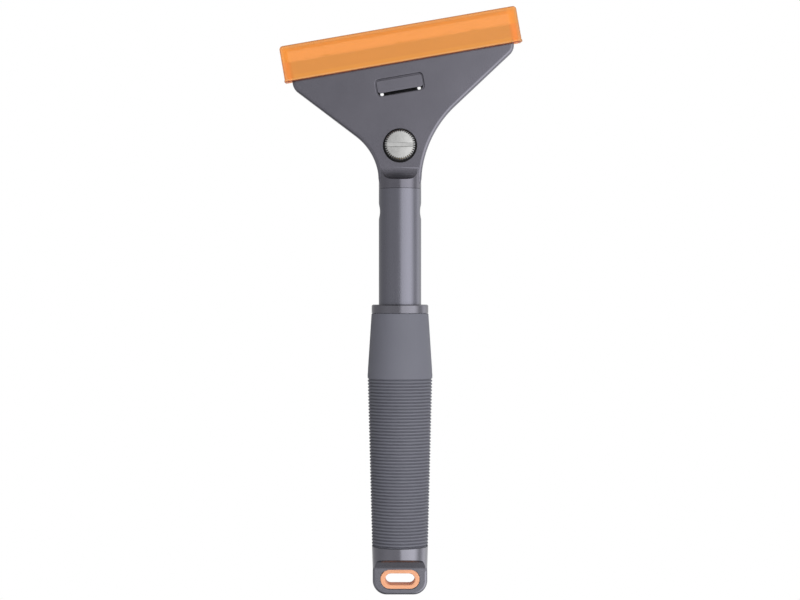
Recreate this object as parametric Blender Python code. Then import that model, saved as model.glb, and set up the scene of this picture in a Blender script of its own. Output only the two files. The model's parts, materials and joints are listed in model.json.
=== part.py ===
"""Long-handled scraper with a wide, tilted blade held in a die-cast head by a rocking clamp plate.

Frame: metres, +Z up along the handle, front of the head towards -Y. The origin is on the handle's axis, at
the middle of the ribbed grip. The blade frame has its origin on the handle's axis at the middle of the blade
guard: x runs along the blade, z runs square to it towards the cutting edge, and y is the world's Y.
"""

import math

import bmesh
import bpy
from mathutils import Matrix, Vector

GAP = 0.0003  # left between pieces that touch

# Blade, square to which the head is set askew on the handle
BLADE_TILT = math.radians(9.86)
BLADE_CENTRE_Z = 0.1876
BLADE_WIDTH = 0.1010
BLADE_HEIGHT = 0.0150
BLADE_THICKNESS = 0.0008
BLADE_EDGE = 0.0065  # cutting edge, in the blade frame
BLADE_BEVEL = 0.0020
PIN_PITCH = 0.0335
PIN_RADIUS = 0.0015
PIN_HEIGHT = -0.0058

# Head casting
HEAD_HALF_WIDTH = 0.0504
HEAD_FRONT = -0.0045
HEAD_BACK = BLADE_THICKNESS / 2
JAW_TOP = 0.00136
JAW_BEVEL = 0.0053
JAW_LIP = 0.0006
JAW_BACK = -BLADE_THICKNESS / 2 - GAP
SEAT_SHOULDER = BLADE_EDGE - BLADE_HEIGHT - GAP
SIDE_CORNER_RADIUS = 0.0055
LEFT_SLOPE = math.radians(52.9)  # of the lower edges, from the vertical
RIGHT_SLOPE = math.radians(46.7)
LEFT_CORNER = -0.0109  # where the side edges end, in the blade frame
RIGHT_CORNER = -0.0104
LEFT_NECK_ARC = 0.0257
RIGHT_NECK_ARC = 0.0488
PLATE_RISE = 0.0065  # from the neck's foot to where the plate starts
PLATE_FOOT = 0.0088

# Tube and neck
TUBE_RADIUS = 0.009525
TUBE_WALL = 0.0012
TUBE_TOP = 0.1235
TUBE_BOTTOM = -0.0200
SPIGOT_LENGTH = 0.0240
CRIMP_Z = 0.1134
CRIMP_LENGTH = 0.0068
CRIMP_DEPTH = 0.0006
CRIMP_WIDTH = 0.0050

# Window in the head, and the tongue of the clamp plate that hooks through it
WINDOW_WIDTH = 0.0218
WINDOW_HEIGHT = 0.0078
WINDOW_CORNER = 0.0018
WINDOW_CENTRE = (-0.0032, -0.0171)  # blade frame
LEDGE_FRONT = -0.0023
LEDGE_BOTTOM = -0.0174
TONGUE_TOP = -0.0136
TONGUE_BOTTOM = -0.0195
TONGUE_HALF_WIDTH = 0.0103
LEG_HALF_WIDTH = 0.0077
RELIEF_RADIUS = 0.0009

# Thumb screw
SCREW_Z = 0.1428
SCREW_PITCH = 0.0010
SCREW_TURNS = 1.25
SCREW_HEAD_RADIUS = 0.0067
SCREW_HEAD_FRONT = -0.0097
SCREW_HEAD_BACK = -0.0039
SHANK_RADIUS = 0.0027
SLOT_WIDTH = 0.0016
SLOT_DEPTH = 0.0016
RECESS_RADIUS = 0.0075
BUSH_RADIUS = 0.0050
BUSH_FLANGE_RADIUS = 0.0062
BUSH_BACK = 0.0010
PAD_RADIUS = 0.0022
PAD_BACK = 0.0024
PAD_THICKNESS = 0.0012
STEM_RADIUS = 0.0009
STEM_LENGTH = 0.0020

# Clamp plate
PLATE_THICKNESS = 0.0018
PLATE_TOP = 0.0012
PLATE_HALF_WIDTH = 0.0495
PLATE_INSET = 0.0045
TAIL_BOTTOM = 0.1354
TAIL_HALF_WIDTH = 0.0060
PIVOT_Y = LEDGE_FRONT - GAP / 2

# Guard
GUARD_LENGTH = 0.1075
GUARD_HEIGHT = 0.0164
GUARD_WALL = 0.0013
GUARD_FRONT = -0.0061
GUARD_BACK = 0.0050
GUARD_MIDDLE = (0.0002, 0.0005)  # blade frame

# Grip
COLLAR_TOP = 0.07155
COLLAR_RADIUS = 0.01275
COLLAR_EDGE = 0.0008
SLEEVE_TOP = 0.0676
SLEEVE_BELLY_Z = 0.0400
SLEEVE_BOTTOM = -0.0369
SLEEVE_TOP_RADIUS = 0.0128
SLEEVE_BELLY_RADIUS = 0.0146
SLEEVE_BOTTOM_RADIUS = 0.0126
CORE_RADIUS = 0.0110
END_TOP_RADIUS = 0.0125
END_RADIUS = 0.0122
END_BOTTOM = -0.0584
END_CORNER = 0.0063
TAB_HALF_THICKNESS = 0.0045
SCOOP = ((0.0127, -0.0424), (0.0068, -0.0433), (0.0062, -0.0438), (0.0047, -0.0463), (0.0045, -0.0468))
SLOT_Z = -0.0514
SLOT_SIZE = (0.0132, 0.0051)
RING_SIZE = (0.01755, 0.00865)
RING_PROUD = 0.0002

BLADE_FRAME = Matrix.Translation((0, 0, BLADE_CENTRE_Z)) @ Matrix.Rotation(-BLADE_TILT, 4, "Y")
SCREW_HEIGHT = (SCREW_Z - BLADE_CENTRE_Z) * math.cos(BLADE_TILT)  # of the screw, in the blade frame
SCREW_TRAVEL = SCREW_PITCH * SCREW_TURNS
CLAMP_ANGLE = SCREW_TRAVEL / (LEDGE_BOTTOM - SCREW_HEIGHT)
JAW_OPENING = (PLATE_TOP - LEDGE_BOTTOM) * CLAMP_ANGLE
PLATE_FRONT = BLADE_THICKNESS / 2 + GAP + JAW_OPENING  # of the open plate, parallel to the head
PIVOT_FRAME = BLADE_FRAME @ Matrix.Translation((WINDOW_CENTRE[0], PIVOT_Y, LEDGE_BOTTOM))
ROUND_STEPS = 48


def material(name, colour, roughness, metallic, alpha=1.0):
    mat = bpy.data.materials.new(name)
    mat.use_nodes = True
    shader = mat.node_tree.nodes["Principled BSDF"]
    shader.inputs["Base Color"].default_value = (*colour, 1.0)
    shader.inputs["Roughness"].default_value = roughness
    shader.inputs["Metallic"].default_value = metallic
    shader.inputs["Alpha"].default_value = alpha
    return mat


def make_object(name, bm, mat, matrix=None):
    """Turn a bmesh into a named object, smooth but for its sharp edges."""
    bmesh.ops.remove_doubles(bm, verts=bm.verts, dist=1e-7)
    bmesh.ops.recalc_face_normals(bm, faces=bm.faces)
    mesh = bpy.data.meshes.new(name)
    bm.to_mesh(mesh)
    bm.free()
    mesh.shade_smooth()
    mesh.set_sharp_from_angle(angle=math.radians(30))
    if mat:
        mesh.materials.append(mat)
    ob = bpy.data.objects.new(name, mesh)
    ob.matrix_world = matrix or Matrix.Identity(4)
    bpy.context.scene.collection.objects.link(ob)
    return ob


def boolean(ob, tool, operation):
    """Cut or join with a hidden tool object."""
    tool.hide_render = True
    tool.display_type = "WIRE"
    mod = ob.modifiers.new(tool.name, "BOOLEAN")
    mod.operation = operation
    mod.solver = "EXACT"
    mod.object = tool


def cut(ob, tool):
    boolean(ob, tool, "DIFFERENCE")


def join(ob, tool):
    boolean(ob, tool, "UNION")


def rounded(corners, steps=8):
    """Outline through (point, radius) corners, each corner of a radius above 0 turned into an arc."""
    outline = []
    for i, (corner, radius) in enumerate(corners):
        here = Vector(corner)
        to_last = (Vector(corners[i - 1][0]) - here).normalized()
        to_next = (Vector(corners[(i + 1) % len(corners)][0]) - here).normalized()
        if radius == 0:
            outline.append(here)
            continue
        half = to_last.angle(to_next) / 2
        bisector = (to_last + to_next).normalized()
        centre = here + bisector * radius / math.sin(half)
        start = here + to_last * radius / math.tan(half) - centre
        end = here + to_next * radius / math.tan(half) - centre
        sweep = start.angle_signed(end)
        for step in range(steps + 1):
            arm = start.copy()
            arm.rotate(Matrix.Rotation(-sweep * step / steps, 2))
            outline.append(centre + arm)
    return outline


def box_corners(width, height, centre=(0.0, 0.0), radius=0.0):
    """Corners of a rectangle, for rounded()."""
    x, z = centre
    w, h = width / 2, height / 2
    return [((x + sx * w, z + sz * h), radius) for sx, sz in ((-1, -1), (1, -1), (1, 1), (-1, 1))]


def prism(outline, low, high, across="Y"):
    """Extrude a flat outline from low to high along Y (outline in X, Z) or along X (outline in Y, Z)."""
    bm = bmesh.new()
    if across == "Y":
        verts = [bm.verts.new((p[0], low, p[1])) for p in outline]
        way = Vector((0, high - low, 0))
    else:
        verts = [bm.verts.new((low, p[0], p[1])) for p in outline]
        way = Vector((high - low, 0, 0))
    face = bm.faces.new(verts)
    extruded = bmesh.ops.extrude_face_region(bm, geom=[face], use_keep_orig=True)
    moved = [v for v in extruded["geom"] if isinstance(v, bmesh.types.BMVert)]
    bmesh.ops.translate(bm, verts=moved, vec=way)
    return bm


def turned(profile, axis="Z", steps=ROUND_STEPS):
    """Spin a profile of (radius, height) points about Z or about Y. Its ends may lie on the axis."""
    bm = bmesh.new()
    if axis == "Z":
        verts = [bm.verts.new((r, 0, h)) for r, h in profile]
        spin_axis = (0, 0, 1)
    else:
        verts = [bm.verts.new((r, h, 0)) for r, h in profile]
        spin_axis = (0, 1, 0)
    edges = [bm.edges.new(pair) for pair in zip(verts, verts[1:])]
    if profile[0][0] > 0:
        edges.append(bm.edges.new((verts[-1], verts[0])))
    bmesh.ops.spin(
        bm, geom=verts + edges, axis=spin_axis, cent=(0, 0, 0), angle=2 * math.pi, steps=steps, use_merge=True
    )
    return bm


def arc(centre, radius, start, end, steps=6):
    """Points of an arc, angles in degrees from +X towards +Z. A radius may be a pair for an ellipse."""
    rx, rz = radius if isinstance(radius, tuple) else (radius, radius)
    points = []
    for step in range(steps + 1):
        angle = math.radians(start + (end - start) * step / steps)
        points.append((centre[0] + rx * math.cos(angle), centre[1] + rz * math.sin(angle)))
    return points


def in_world(u, v):
    """A point of the blade frame as world (X, Z)."""
    point = BLADE_FRAME @ Vector((u, 0, v))
    return point.x, point.z


def in_blade(x, z):
    """A world (X, Z) point in the blade frame."""
    point = BLADE_FRAME.inverted() @ Vector((x, 0, z))
    return point.x, point.z


def on_slope(corner, slope, x):
    """Height at x of the lower edge that runs down from a corner to the neck."""
    return corner[1] - abs(corner[0] - x) / math.tan(slope)


def head_outline():
    """Front outline of the head, world (X, Z), anticlockwise from the neck's left side."""
    left = in_world(-HEAD_HALF_WIDTH, LEFT_CORNER)
    right = in_world(HEAD_HALF_WIDTH, RIGHT_CORNER)
    corners = [
        ((-TUBE_RADIUS, TUBE_TOP), 0),
        ((TUBE_RADIUS, TUBE_TOP), 0),
        ((TUBE_RADIUS, on_slope(right, RIGHT_SLOPE, TUBE_RADIUS)), RIGHT_NECK_ARC),
        (right, SIDE_CORNER_RADIUS),
        (in_world(HEAD_HALF_WIDTH, JAW_TOP), 0),
        (in_world(-HEAD_HALF_WIDTH, JAW_TOP), 0),
        (left, SIDE_CORNER_RADIUS),
        ((-TUBE_RADIUS, on_slope(left, LEFT_SLOPE, -TUBE_RADIUS)), LEFT_NECK_ARC),
    ]
    low = TUBE_TOP + PLATE_RISE
    foot = [(-PLATE_FOOT, low), (PLATE_FOOT, low)]  # inside the round neck
    return foot + [p for p in rounded(corners) if p[1] > low + GAP]


def scoop(side, plate_face, bottom, top):
    """Cutter that hollows the round neck down to the plate's face, on the side given as -1 or 1."""
    reach = TUBE_RADIUS + 0.0002
    depth = reach - abs(plate_face) if plate_face * side > 0 else reach + abs(plate_face)
    curve = arc((side * reach, top), (depth, top - bottom), 270, 180 if side > 0 else 360)
    outer = side * (reach + 0.004)
    return [*curve, (plate_face, top + 0.012), (outer, top + 0.012), (outer, bottom)]


def make_head(mat):
    low = TUBE_TOP + GAP
    spigot_radius = TUBE_RADIUS - TUBE_WALL - GAP
    groove = spigot_radius - CRIMP_DEPTH - GAP
    neck = turned(
        [
            (0, low - SPIGOT_LENGTH),
            (spigot_radius - 0.0006, low - SPIGOT_LENGTH),
            (spigot_radius, low - SPIGOT_LENGTH + 0.0006),
            (spigot_radius, CRIMP_Z - 0.0042),
            (groove, CRIMP_Z - 0.0036),
            (groove, CRIMP_Z + 0.0036),
            (spigot_radius, CRIMP_Z + 0.0042),
            (spigot_radius, low),
            (TUBE_RADIUS, low),
            (TUBE_RADIUS, SCREW_Z - 0.0008),
            (0, SCREW_Z - 0.0008),
        ]
    )
    ob = make_object("head_body", neck, mat)
    front, back = HEAD_FRONT + GAP, HEAD_BACK - GAP  # just inside the plate's faces
    for side, face, bottom, top in ((-1, front, 0.1275, 0.1345), (1, back, 0.1262, 0.1335)):
        name = "neck_scoop_front" if side < 0 else "neck_scoop_back"
        cut(ob, make_object(name, prism(scoop(side, face, bottom, top), -0.013, 0.013, "X"), None))
    join(ob, make_object("head_plate", prism(head_outline(), HEAD_FRONT, HEAD_BACK), None))

    reach = HEAD_HALF_WIDTH + 0.003
    seat = prism(box_corners_flat(-reach, reach, SEAT_SHOULDER, 0.02), JAW_BACK, 0.01)
    cut(ob, make_object("blade_seat", seat, None, BLADE_FRAME))
    bevel_outline = [
        (HEAD_FRONT - 0.001, JAW_TOP - JAW_BEVEL - 0.001 * JAW_BEVEL / (JAW_BACK - JAW_LIP - HEAD_FRONT)),
        (JAW_BACK - JAW_LIP, JAW_TOP),
        (JAW_BACK - JAW_LIP, JAW_TOP + 0.004),
        (HEAD_FRONT - 0.001, JAW_TOP + 0.004),
    ]
    cut(ob, make_object("jaw_bevel", prism(bevel_outline, -reach, reach, "X"), None, BLADE_FRAME))

    pocket = prism(rounded(box_corners(WINDOW_WIDTH, WINDOW_HEIGHT, WINDOW_CENTRE, WINDOW_CORNER), 4),
                   HEAD_FRONT - 0.001, LEDGE_FRONT)
    cut(ob, make_object("window_pocket", pocket, None, BLADE_FRAME))
    slot_bottom = WINDOW_CENTRE[1] - WINDOW_HEIGHT / 2 + GAP
    slot_centre = (WINDOW_CENTRE[0], (slot_bottom + LEDGE_BOTTOM) / 2)
    slot_corners = box_corners(WINDOW_WIDTH - 2 * GAP, LEDGE_BOTTOM - slot_bottom, slot_centre, 0.0)
    for i in (0, 1):
        slot_corners[i] = (slot_corners[i][0], WINDOW_CORNER)
    slot = prism(rounded(slot_corners, 4), LEDGE_FRONT - 0.001, 0.002)
    cut(ob, make_object("window_slot", slot, None, BLADE_FRAME))

    screw_axis = Matrix.Translation((0, 0, SCREW_Z))
    bore = turned(
        [
            (0, HEAD_FRONT - 0.001),
            (RECESS_RADIUS, HEAD_FRONT - 0.001),
            (RECESS_RADIUS, LEDGE_FRONT),
            (BUSH_RADIUS + GAP, LEDGE_FRONT),
            (BUSH_RADIUS + GAP, HEAD_BACK + 0.001),
            (0, HEAD_BACK + 0.001),
        ],
        "Y",
    )
    cut(ob, make_object("screw_bore", bore, None, screw_axis))
    for i in (-1, 0, 1):
        hole = turned([(0, pin_front() - GAP), (PIN_RADIUS + GAP, pin_front() - GAP), (PIN_RADIUS + GAP, 0.001),
                       (0, 0.001)], "Y", 16)
        place = BLADE_FRAME @ Matrix.Translation((i * PIN_PITCH, 0, PIN_HEIGHT))
        cut(ob, make_object(f"pin_hole_{i + 2}", hole, None, place))
    weld = ob.modifiers.new("weld", "WELD")
    weld.merge_threshold = 0.00002


def box_corners_flat(left, right, bottom, top):
    return [(left, bottom), (right, bottom), (right, top), (left, top)]


def pin_front():
    return HEAD_FRONT + 0.0013


def make_pins(mat):
    back = BLADE_THICKNESS / 2 + GAP
    for i, side in ((-1, "left"), (0, "middle"), (1, "right")):
        pin = turned([(0, pin_front()), (PIN_RADIUS, pin_front()), (PIN_RADIUS, back - 0.0003),
                      (PIN_RADIUS - 0.0003, back), (0, back)], "Y", 16)
        place = BLADE_FRAME @ Matrix.Translation((i * PIN_PITCH, 0, PIN_HEIGHT))
        make_object(f"blade_pin_{side}", pin, mat, place)


def make_blade(mat):
    half = BLADE_THICKNESS / 2
    bottom = BLADE_EDGE - BLADE_HEIGHT
    edge = 0.00008
    section = [
        (-half, bottom), (half, bottom), (half, BLADE_EDGE - BLADE_BEVEL), (edge, BLADE_EDGE),
        (-edge, BLADE_EDGE), (-half, BLADE_EDGE - BLADE_BEVEL),
    ]
    ob = make_object("blade", prism(section, -BLADE_WIDTH / 2, BLADE_WIDTH / 2, "X"), mat, BLADE_FRAME)
    notch_radius = PIN_RADIUS + GAP
    for i in (-1, 0, 1):
        x = i * PIN_PITCH
        outline = [(x - notch_radius, bottom - 0.001), (x + notch_radius, bottom - 0.001)]
        outline += arc((x, PIN_HEIGHT), notch_radius, 0, 180, 8)
        cut(ob, make_object(f"blade_notch_{i + 2}", prism(outline, -0.001, 0.001), None, BLADE_FRAME))


def plate_outline():
    """Outline of the clamp plate, blade frame. It follows the head's edges, a little inside them."""
    left = in_world(-HEAD_HALF_WIDTH, LEFT_CORNER)
    right = in_world(HEAD_HALF_WIDTH, RIGHT_CORNER)
    low_left = on_slope(left, LEFT_SLOPE, -TAIL_HALF_WIDTH) + PLATE_INSET / math.sin(LEFT_SLOPE)
    low_right = on_slope(right, RIGHT_SLOPE, TAIL_HALF_WIDTH) + PLATE_INSET / math.sin(RIGHT_SLOPE)
    side_left = in_blade(left[0], left[1] + PLATE_INSET / math.sin(LEFT_SLOPE))[1]
    side_right = in_blade(right[0], right[1] + PLATE_INSET / math.sin(RIGHT_SLOPE))[1]
    return rounded(
        [
            (in_blade(-TAIL_HALF_WIDTH, TAIL_BOTTOM), 0.004),
            (in_blade(TAIL_HALF_WIDTH, TAIL_BOTTOM), 0.004),
            (in_blade(TAIL_HALF_WIDTH, low_right), 0.010),
            ((PLATE_HALF_WIDTH, side_right), 0.003),
            ((PLATE_HALF_WIDTH, PLATE_TOP), 0.001),
            ((-PLATE_HALF_WIDTH, PLATE_TOP), 0.001),
            ((-PLATE_HALF_WIDTH, side_left), 0.003),
            (in_blade(-TAIL_HALF_WIDTH, low_left), 0.005),
        ],
        5,
    )


def make_clamp_plate(mat):
    """Modelled parallel to the head about its rocking axis, then turned to the clamped position."""
    clamped = PIVOT_FRAME @ Matrix.Rotation(CLAMP_ANGLE, 4, "X")

    def local(points):
        return [(p[0] - WINDOW_CENTRE[0], p[1] - LEDGE_BOTTOM) for p in points]

    front = PLATE_FRONT - PIVOT_Y
    ob = make_object("clamp_plate", prism(local(plate_outline()), front, front + PLATE_THICKNESS), mat, clamped)
    wall = PLATE_THICKNESS - 0.0002
    leg_top = TONGUE_BOTTOM + wall
    centre = WINDOW_CENTRE[0]
    lancing = box_corners_flat(centre - 0.0106, centre + 0.0106, leg_top, TONGUE_TOP + 0.0020)
    cut(ob, make_object("plate_lancing", prism(local(lancing), front - 0.001, front + 0.003), None, clamped))
    leg_box = box_corners_flat(centre - LEG_HALF_WIDTH, centre + LEG_HALF_WIDTH, TONGUE_BOTTOM, leg_top)
    tongue_front = LEDGE_FRONT - GAP - wall - PIVOT_Y
    leg = prism(local(leg_box), tongue_front + wall / 2, front + PLATE_THICKNESS / 2)
    join(ob, make_object("tongue_leg", leg, None, clamped))
    tip_box = box_corners(2 * TONGUE_HALF_WIDTH, TONGUE_TOP - TONGUE_BOTTOM,
                          (centre, (TONGUE_TOP + TONGUE_BOTTOM) / 2), 0.0012)
    tip = prism(local(rounded(tip_box, 4)), tongue_front, tongue_front + wall)
    join(ob, make_object("tongue_tip", tip, None, clamped))
    for side in (-1, 1):
        hole = turned([(0, front - 0.001), (RELIEF_RADIUS, front - 0.001), (RELIEF_RADIUS, front + 0.003),
                       (0, front + 0.003)], "Y", 16)
        x = side * (LEG_HALF_WIDTH + RELIEF_RADIUS)
        place = clamped @ Matrix.Translation((x, 0, TONGUE_BOTTOM - 0.0002 - LEDGE_BOTTOM))
        cut(ob, make_object("relief_hole_left" if side < 0 else "relief_hole_right", hole, None, place))


def make_guard(mat):
    """Channel closed at both ends and open below, modelled as a block and hollowed."""
    place = BLADE_FRAME @ Matrix.Translation((GUARD_MIDDLE[0], 0, GUARD_MIDDLE[1]))
    bm = bmesh.new()
    bmesh.ops.create_cube(bm, size=1)
    depth = GUARD_BACK - GUARD_FRONT
    bmesh.ops.scale(bm, verts=bm.verts, vec=(GUARD_LENGTH, depth, GUARD_HEIGHT))
    bmesh.ops.translate(bm, verts=bm.verts, vec=(0, (GUARD_FRONT + GUARD_BACK) / 2, 0))
    upper = [e for e in bm.edges if max(v.co.z for v in e.verts) > 0]
    bmesh.ops.bevel(bm, geom=upper, offset=0.0010, segments=3, profile=0.5, affect="EDGES")
    ob = make_object("blade_guard", bm, mat, place)
    hollow = box_corners_flat(
        GUARD_FRONT + GUARD_WALL, GUARD_BACK - GUARD_WALL, -GUARD_HEIGHT / 2 - 0.001, GUARD_HEIGHT / 2 - GUARD_WALL
    )
    half = GUARD_LENGTH / 2 - GUARD_WALL
    cut(ob, make_object("guard_hollow", prism(hollow, -half, half, "X"), None, place))


def make_tube(mat):
    """Tube with two crimps that press its wall into the spigot's groove."""
    inner = TUBE_RADIUS - TUBE_WALL
    near = [CRIMP_Z + CRIMP_LENGTH * step / 8 for step in range(-5, 6)]
    heights = [TUBE_BOTTOM, *near, TUBE_TOP - 0.0003]
    profile = [(TUBE_RADIUS, z) for z in heights]
    profile += [(TUBE_RADIUS - 0.0003, TUBE_TOP), (inner, TUBE_TOP)]
    profile += [(inner, z) for z in reversed(heights[:-1])]
    bm = turned(profile)
    for vert in bm.verts:
        across = math.atan2(vert.co.y, abs(vert.co.x)) * TUBE_RADIUS / CRIMP_WIDTH
        along = (vert.co.z - CRIMP_Z) / (CRIMP_LENGTH / 2)
        fall = (1 - along**2) ** 2 * (1 - across**2) ** 2 if max(abs(along), abs(across)) < 1 else 0
        vert.co -= Vector((vert.co.x, vert.co.y, 0)).normalized() * CRIMP_DEPTH * fall
    make_object("handle_tube", bm, mat)


def make_grip_core(mat):
    """Hard core: collar, long thin sleeve round the tube, and the end that is flattened into a hanging tab."""
    bore = TUBE_RADIUS + GAP
    seat = SLEEVE_TOP + GAP
    end_top = SLEEVE_BOTTOM - GAP
    profile = [(0, TUBE_BOTTOM - GAP), (bore, TUBE_BOTTOM - GAP), (bore, COLLAR_TOP)]
    profile += arc((COLLAR_RADIUS - COLLAR_EDGE, COLLAR_TOP - COLLAR_EDGE), COLLAR_EDGE, 90, 0, 3)
    profile += [(COLLAR_RADIUS, seat), (CORE_RADIUS, seat), (CORE_RADIUS, end_top), (END_TOP_RADIUS, end_top)]
    profile += arc((END_RADIUS - END_CORNER, END_BOTTOM + END_CORNER), END_CORNER, 0, -90, 8)
    profile += [(0, END_BOTTOM)]
    ob = make_object("grip_core", turned(profile), mat)
    for side, name in ((-1, "tab_scoop_front"), (1, "tab_scoop_back")):
        curve = [(side * y, z) for y, z in SCOOP]
        low = END_BOTTOM - 0.002
        outer = side * (END_TOP_RADIUS + 0.002)
        outline = [*curve, (side * TAB_HALF_THICKNESS, low), (outer, low), (outer, SCOOP[0][1])]
        cut(ob, make_object(name, prism(outline, -0.015, 0.015, "X"), None))
    slot = obround(RING_SIZE[0] + 2 * GAP, RING_SIZE[1] + 2 * GAP)
    cut(ob, make_object("ring_seat", prism(slot, -0.01, 0.01), None, Matrix.Translation((0, 0, SLOT_Z))))


def obround(width, height):
    """Slot outline with half-round ends, centred on the origin."""
    r = height / 2
    half = width / 2 - r
    return arc((half, 0), r, -90, 90, 10) + arc((-half, 0), r, 90, 270, 10)


def make_hang_ring(mat):
    place = Matrix.Translation((0, 0, SLOT_Z))
    reach = TAB_HALF_THICKNESS + RING_PROUD
    ob = make_object("hang_ring", prism(obround(*RING_SIZE), -reach, reach), mat, place)
    cut(ob, make_object("ring_hole", prism(obround(*SLOT_SIZE), -0.01, 0.01), None, place))


def make_grip_sleeve(mat):
    inner = CORE_RADIUS + GAP
    profile = [
        (inner, SLEEVE_BOTTOM),
        (SLEEVE_BOTTOM_RADIUS, SLEEVE_BOTTOM),
        (SLEEVE_BELLY_RADIUS, SLEEVE_BELLY_Z),
        (SLEEVE_TOP_RADIUS, SLEEVE_TOP),
        (inner, SLEEVE_TOP),
    ]
    make_object("grip_sleeve", turned(profile), mat)


def make_screw_parts(steel, brass):
    """Threaded bush, slotted thumb screw and its swivelling pad, all on the screw's axis along Y."""
    axis = Matrix.Translation((0, 0, SCREW_Z))
    flange_back = LEDGE_FRONT - GAP
    bush = turned(
        [
            (SHANK_RADIUS + GAP, flange_back - 0.0007),
            (BUSH_FLANGE_RADIUS, flange_back - 0.0007),
            (BUSH_FLANGE_RADIUS, flange_back),
            (BUSH_RADIUS, flange_back),
            (BUSH_RADIUS, BUSH_BACK),
            (SHANK_RADIUS + GAP, BUSH_BACK),
        ],
        "Y",
        32,
    )
    make_object("threaded_bush", bush, brass, axis)

    pad_front = PAD_BACK - PAD_THICKNESS
    stem_end = pad_front - STEM_LENGTH
    tip = pad_front - GAP
    edge = 0.0006
    screw = turned(
        [
            (0, SCREW_HEAD_FRONT),
            (SCREW_HEAD_RADIUS - edge, SCREW_HEAD_FRONT),
            (SCREW_HEAD_RADIUS, SCREW_HEAD_FRONT + edge),
            (SCREW_HEAD_RADIUS, SCREW_HEAD_BACK - edge),
            (SCREW_HEAD_RADIUS - edge, SCREW_HEAD_BACK),
            (SHANK_RADIUS, SCREW_HEAD_BACK),
            (SHANK_RADIUS, tip),
            (STEM_RADIUS + GAP, tip),
            (STEM_RADIUS + GAP, stem_end - GAP),
            (0, stem_end - GAP),
        ],
        "Y",
        40,
    )
    ob = make_object("thumb_screw", screw, steel, axis)
    slot = prism(box_corners_flat(-0.009, 0.009, -SLOT_WIDTH / 2, SLOT_WIDTH / 2),
                 SCREW_HEAD_FRONT - 0.001, SCREW_HEAD_FRONT + SLOT_DEPTH)
    cut(ob, make_object("screw_slot", slot, None, axis))

    pad = turned(
        [
            (0, stem_end),
            (STEM_RADIUS, stem_end),
            (STEM_RADIUS, pad_front),
            (PAD_RADIUS, pad_front),
            (PAD_RADIUS, PAD_BACK - 0.0003),
            (PAD_RADIUS - 0.0003, PAD_BACK),
            (0, PAD_BACK),
        ],
        "Y",
        24,
    )
    make_object("screw_pad", pad, brass, axis)


def main():
    for ob in list(bpy.data.objects):
        bpy.data.objects.remove(ob, do_unlink=True)
    grey_metal = material("painted_casting", (0.13, 0.13, 0.15), 0.45, 0.5)
    steel = material("bright_steel", (0.62, 0.62, 0.62), 0.3, 1.0)
    brass = material("brass", (0.70, 0.52, 0.24), 0.35, 1.0)
    tube_metal = material("tube_metal", (0.20, 0.20, 0.22), 0.3, 0.8)
    plastic = material("grey_plastic", (0.10, 0.10, 0.12), 0.25, 0.0)
    rubber = material("grey_rubber", (0.12, 0.12, 0.14), 0.75, 0.0)
    orange = material("orange_plastic", (0.90, 0.35, 0.10), 0.4, 0.0)
    clear_orange = material("clear_orange_plastic", (0.95, 0.40, 0.10), 0.2, 0.0, 0.7)

    make_head(grey_metal)
    make_pins(steel)
    make_screw_parts(steel, brass)
    make_clamp_plate(steel)
    make_blade(steel)
    make_guard(clear_orange)
    make_tube(tube_metal)
    make_grip_core(plastic)
    make_grip_sleeve(rubber)
    make_hang_ring(orange)


main()
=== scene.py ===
import json
import math

import bmesh
import bpy
from mathutils import Matrix, Vector


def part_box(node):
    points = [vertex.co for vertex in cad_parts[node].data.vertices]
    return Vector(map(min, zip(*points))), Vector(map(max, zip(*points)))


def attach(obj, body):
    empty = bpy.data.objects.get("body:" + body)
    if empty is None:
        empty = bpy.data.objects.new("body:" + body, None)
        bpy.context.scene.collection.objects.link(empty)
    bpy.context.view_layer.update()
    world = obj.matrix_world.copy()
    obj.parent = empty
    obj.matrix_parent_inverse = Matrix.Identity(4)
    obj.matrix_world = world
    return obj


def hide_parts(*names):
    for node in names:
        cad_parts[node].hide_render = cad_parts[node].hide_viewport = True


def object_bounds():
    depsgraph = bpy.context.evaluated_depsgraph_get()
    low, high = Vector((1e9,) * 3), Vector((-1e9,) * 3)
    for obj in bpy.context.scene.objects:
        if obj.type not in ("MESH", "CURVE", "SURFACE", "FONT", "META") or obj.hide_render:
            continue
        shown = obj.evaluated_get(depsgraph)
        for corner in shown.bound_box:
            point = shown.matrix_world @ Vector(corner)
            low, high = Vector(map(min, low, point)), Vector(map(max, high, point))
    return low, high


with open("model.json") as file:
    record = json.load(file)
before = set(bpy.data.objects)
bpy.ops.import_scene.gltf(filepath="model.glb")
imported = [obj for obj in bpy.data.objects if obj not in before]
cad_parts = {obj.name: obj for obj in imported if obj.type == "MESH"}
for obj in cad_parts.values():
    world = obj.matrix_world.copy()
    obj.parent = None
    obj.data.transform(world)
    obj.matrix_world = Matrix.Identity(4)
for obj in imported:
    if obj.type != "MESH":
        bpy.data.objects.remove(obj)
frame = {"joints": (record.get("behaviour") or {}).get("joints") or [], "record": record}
cadLow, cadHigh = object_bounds()

fullTurn = 2 * math.pi
weldDistance = 0.000001
smoothAngle = math.radians(32)
# how near a vertex lies to the place it is looked for
exactly = 0.00001
closely = 0.00002
nearly = 0.00003
roughly = 0.00005
# how far a cutter reaches past the surface it cuts
clear = 0.001


# Helpers for modelling by place: everything is in metres, in the CAD's own frame

def selectNothing():
    if bpy.context.mode != "OBJECT":
        bpy.ops.object.mode_set(mode="OBJECT")
    bpy.ops.object.select_all(action="DESELECT")


def workOn(piece):
    selectNothing()
    piece.select_set(True)
    bpy.context.view_layer.objects.active = piece


def editAll(piece):
    workOn(piece)
    bpy.ops.object.mode_set(mode="EDIT")
    bpy.ops.mesh.select_mode(type="VERT")
    bpy.ops.mesh.select_all(action="SELECT")


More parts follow.
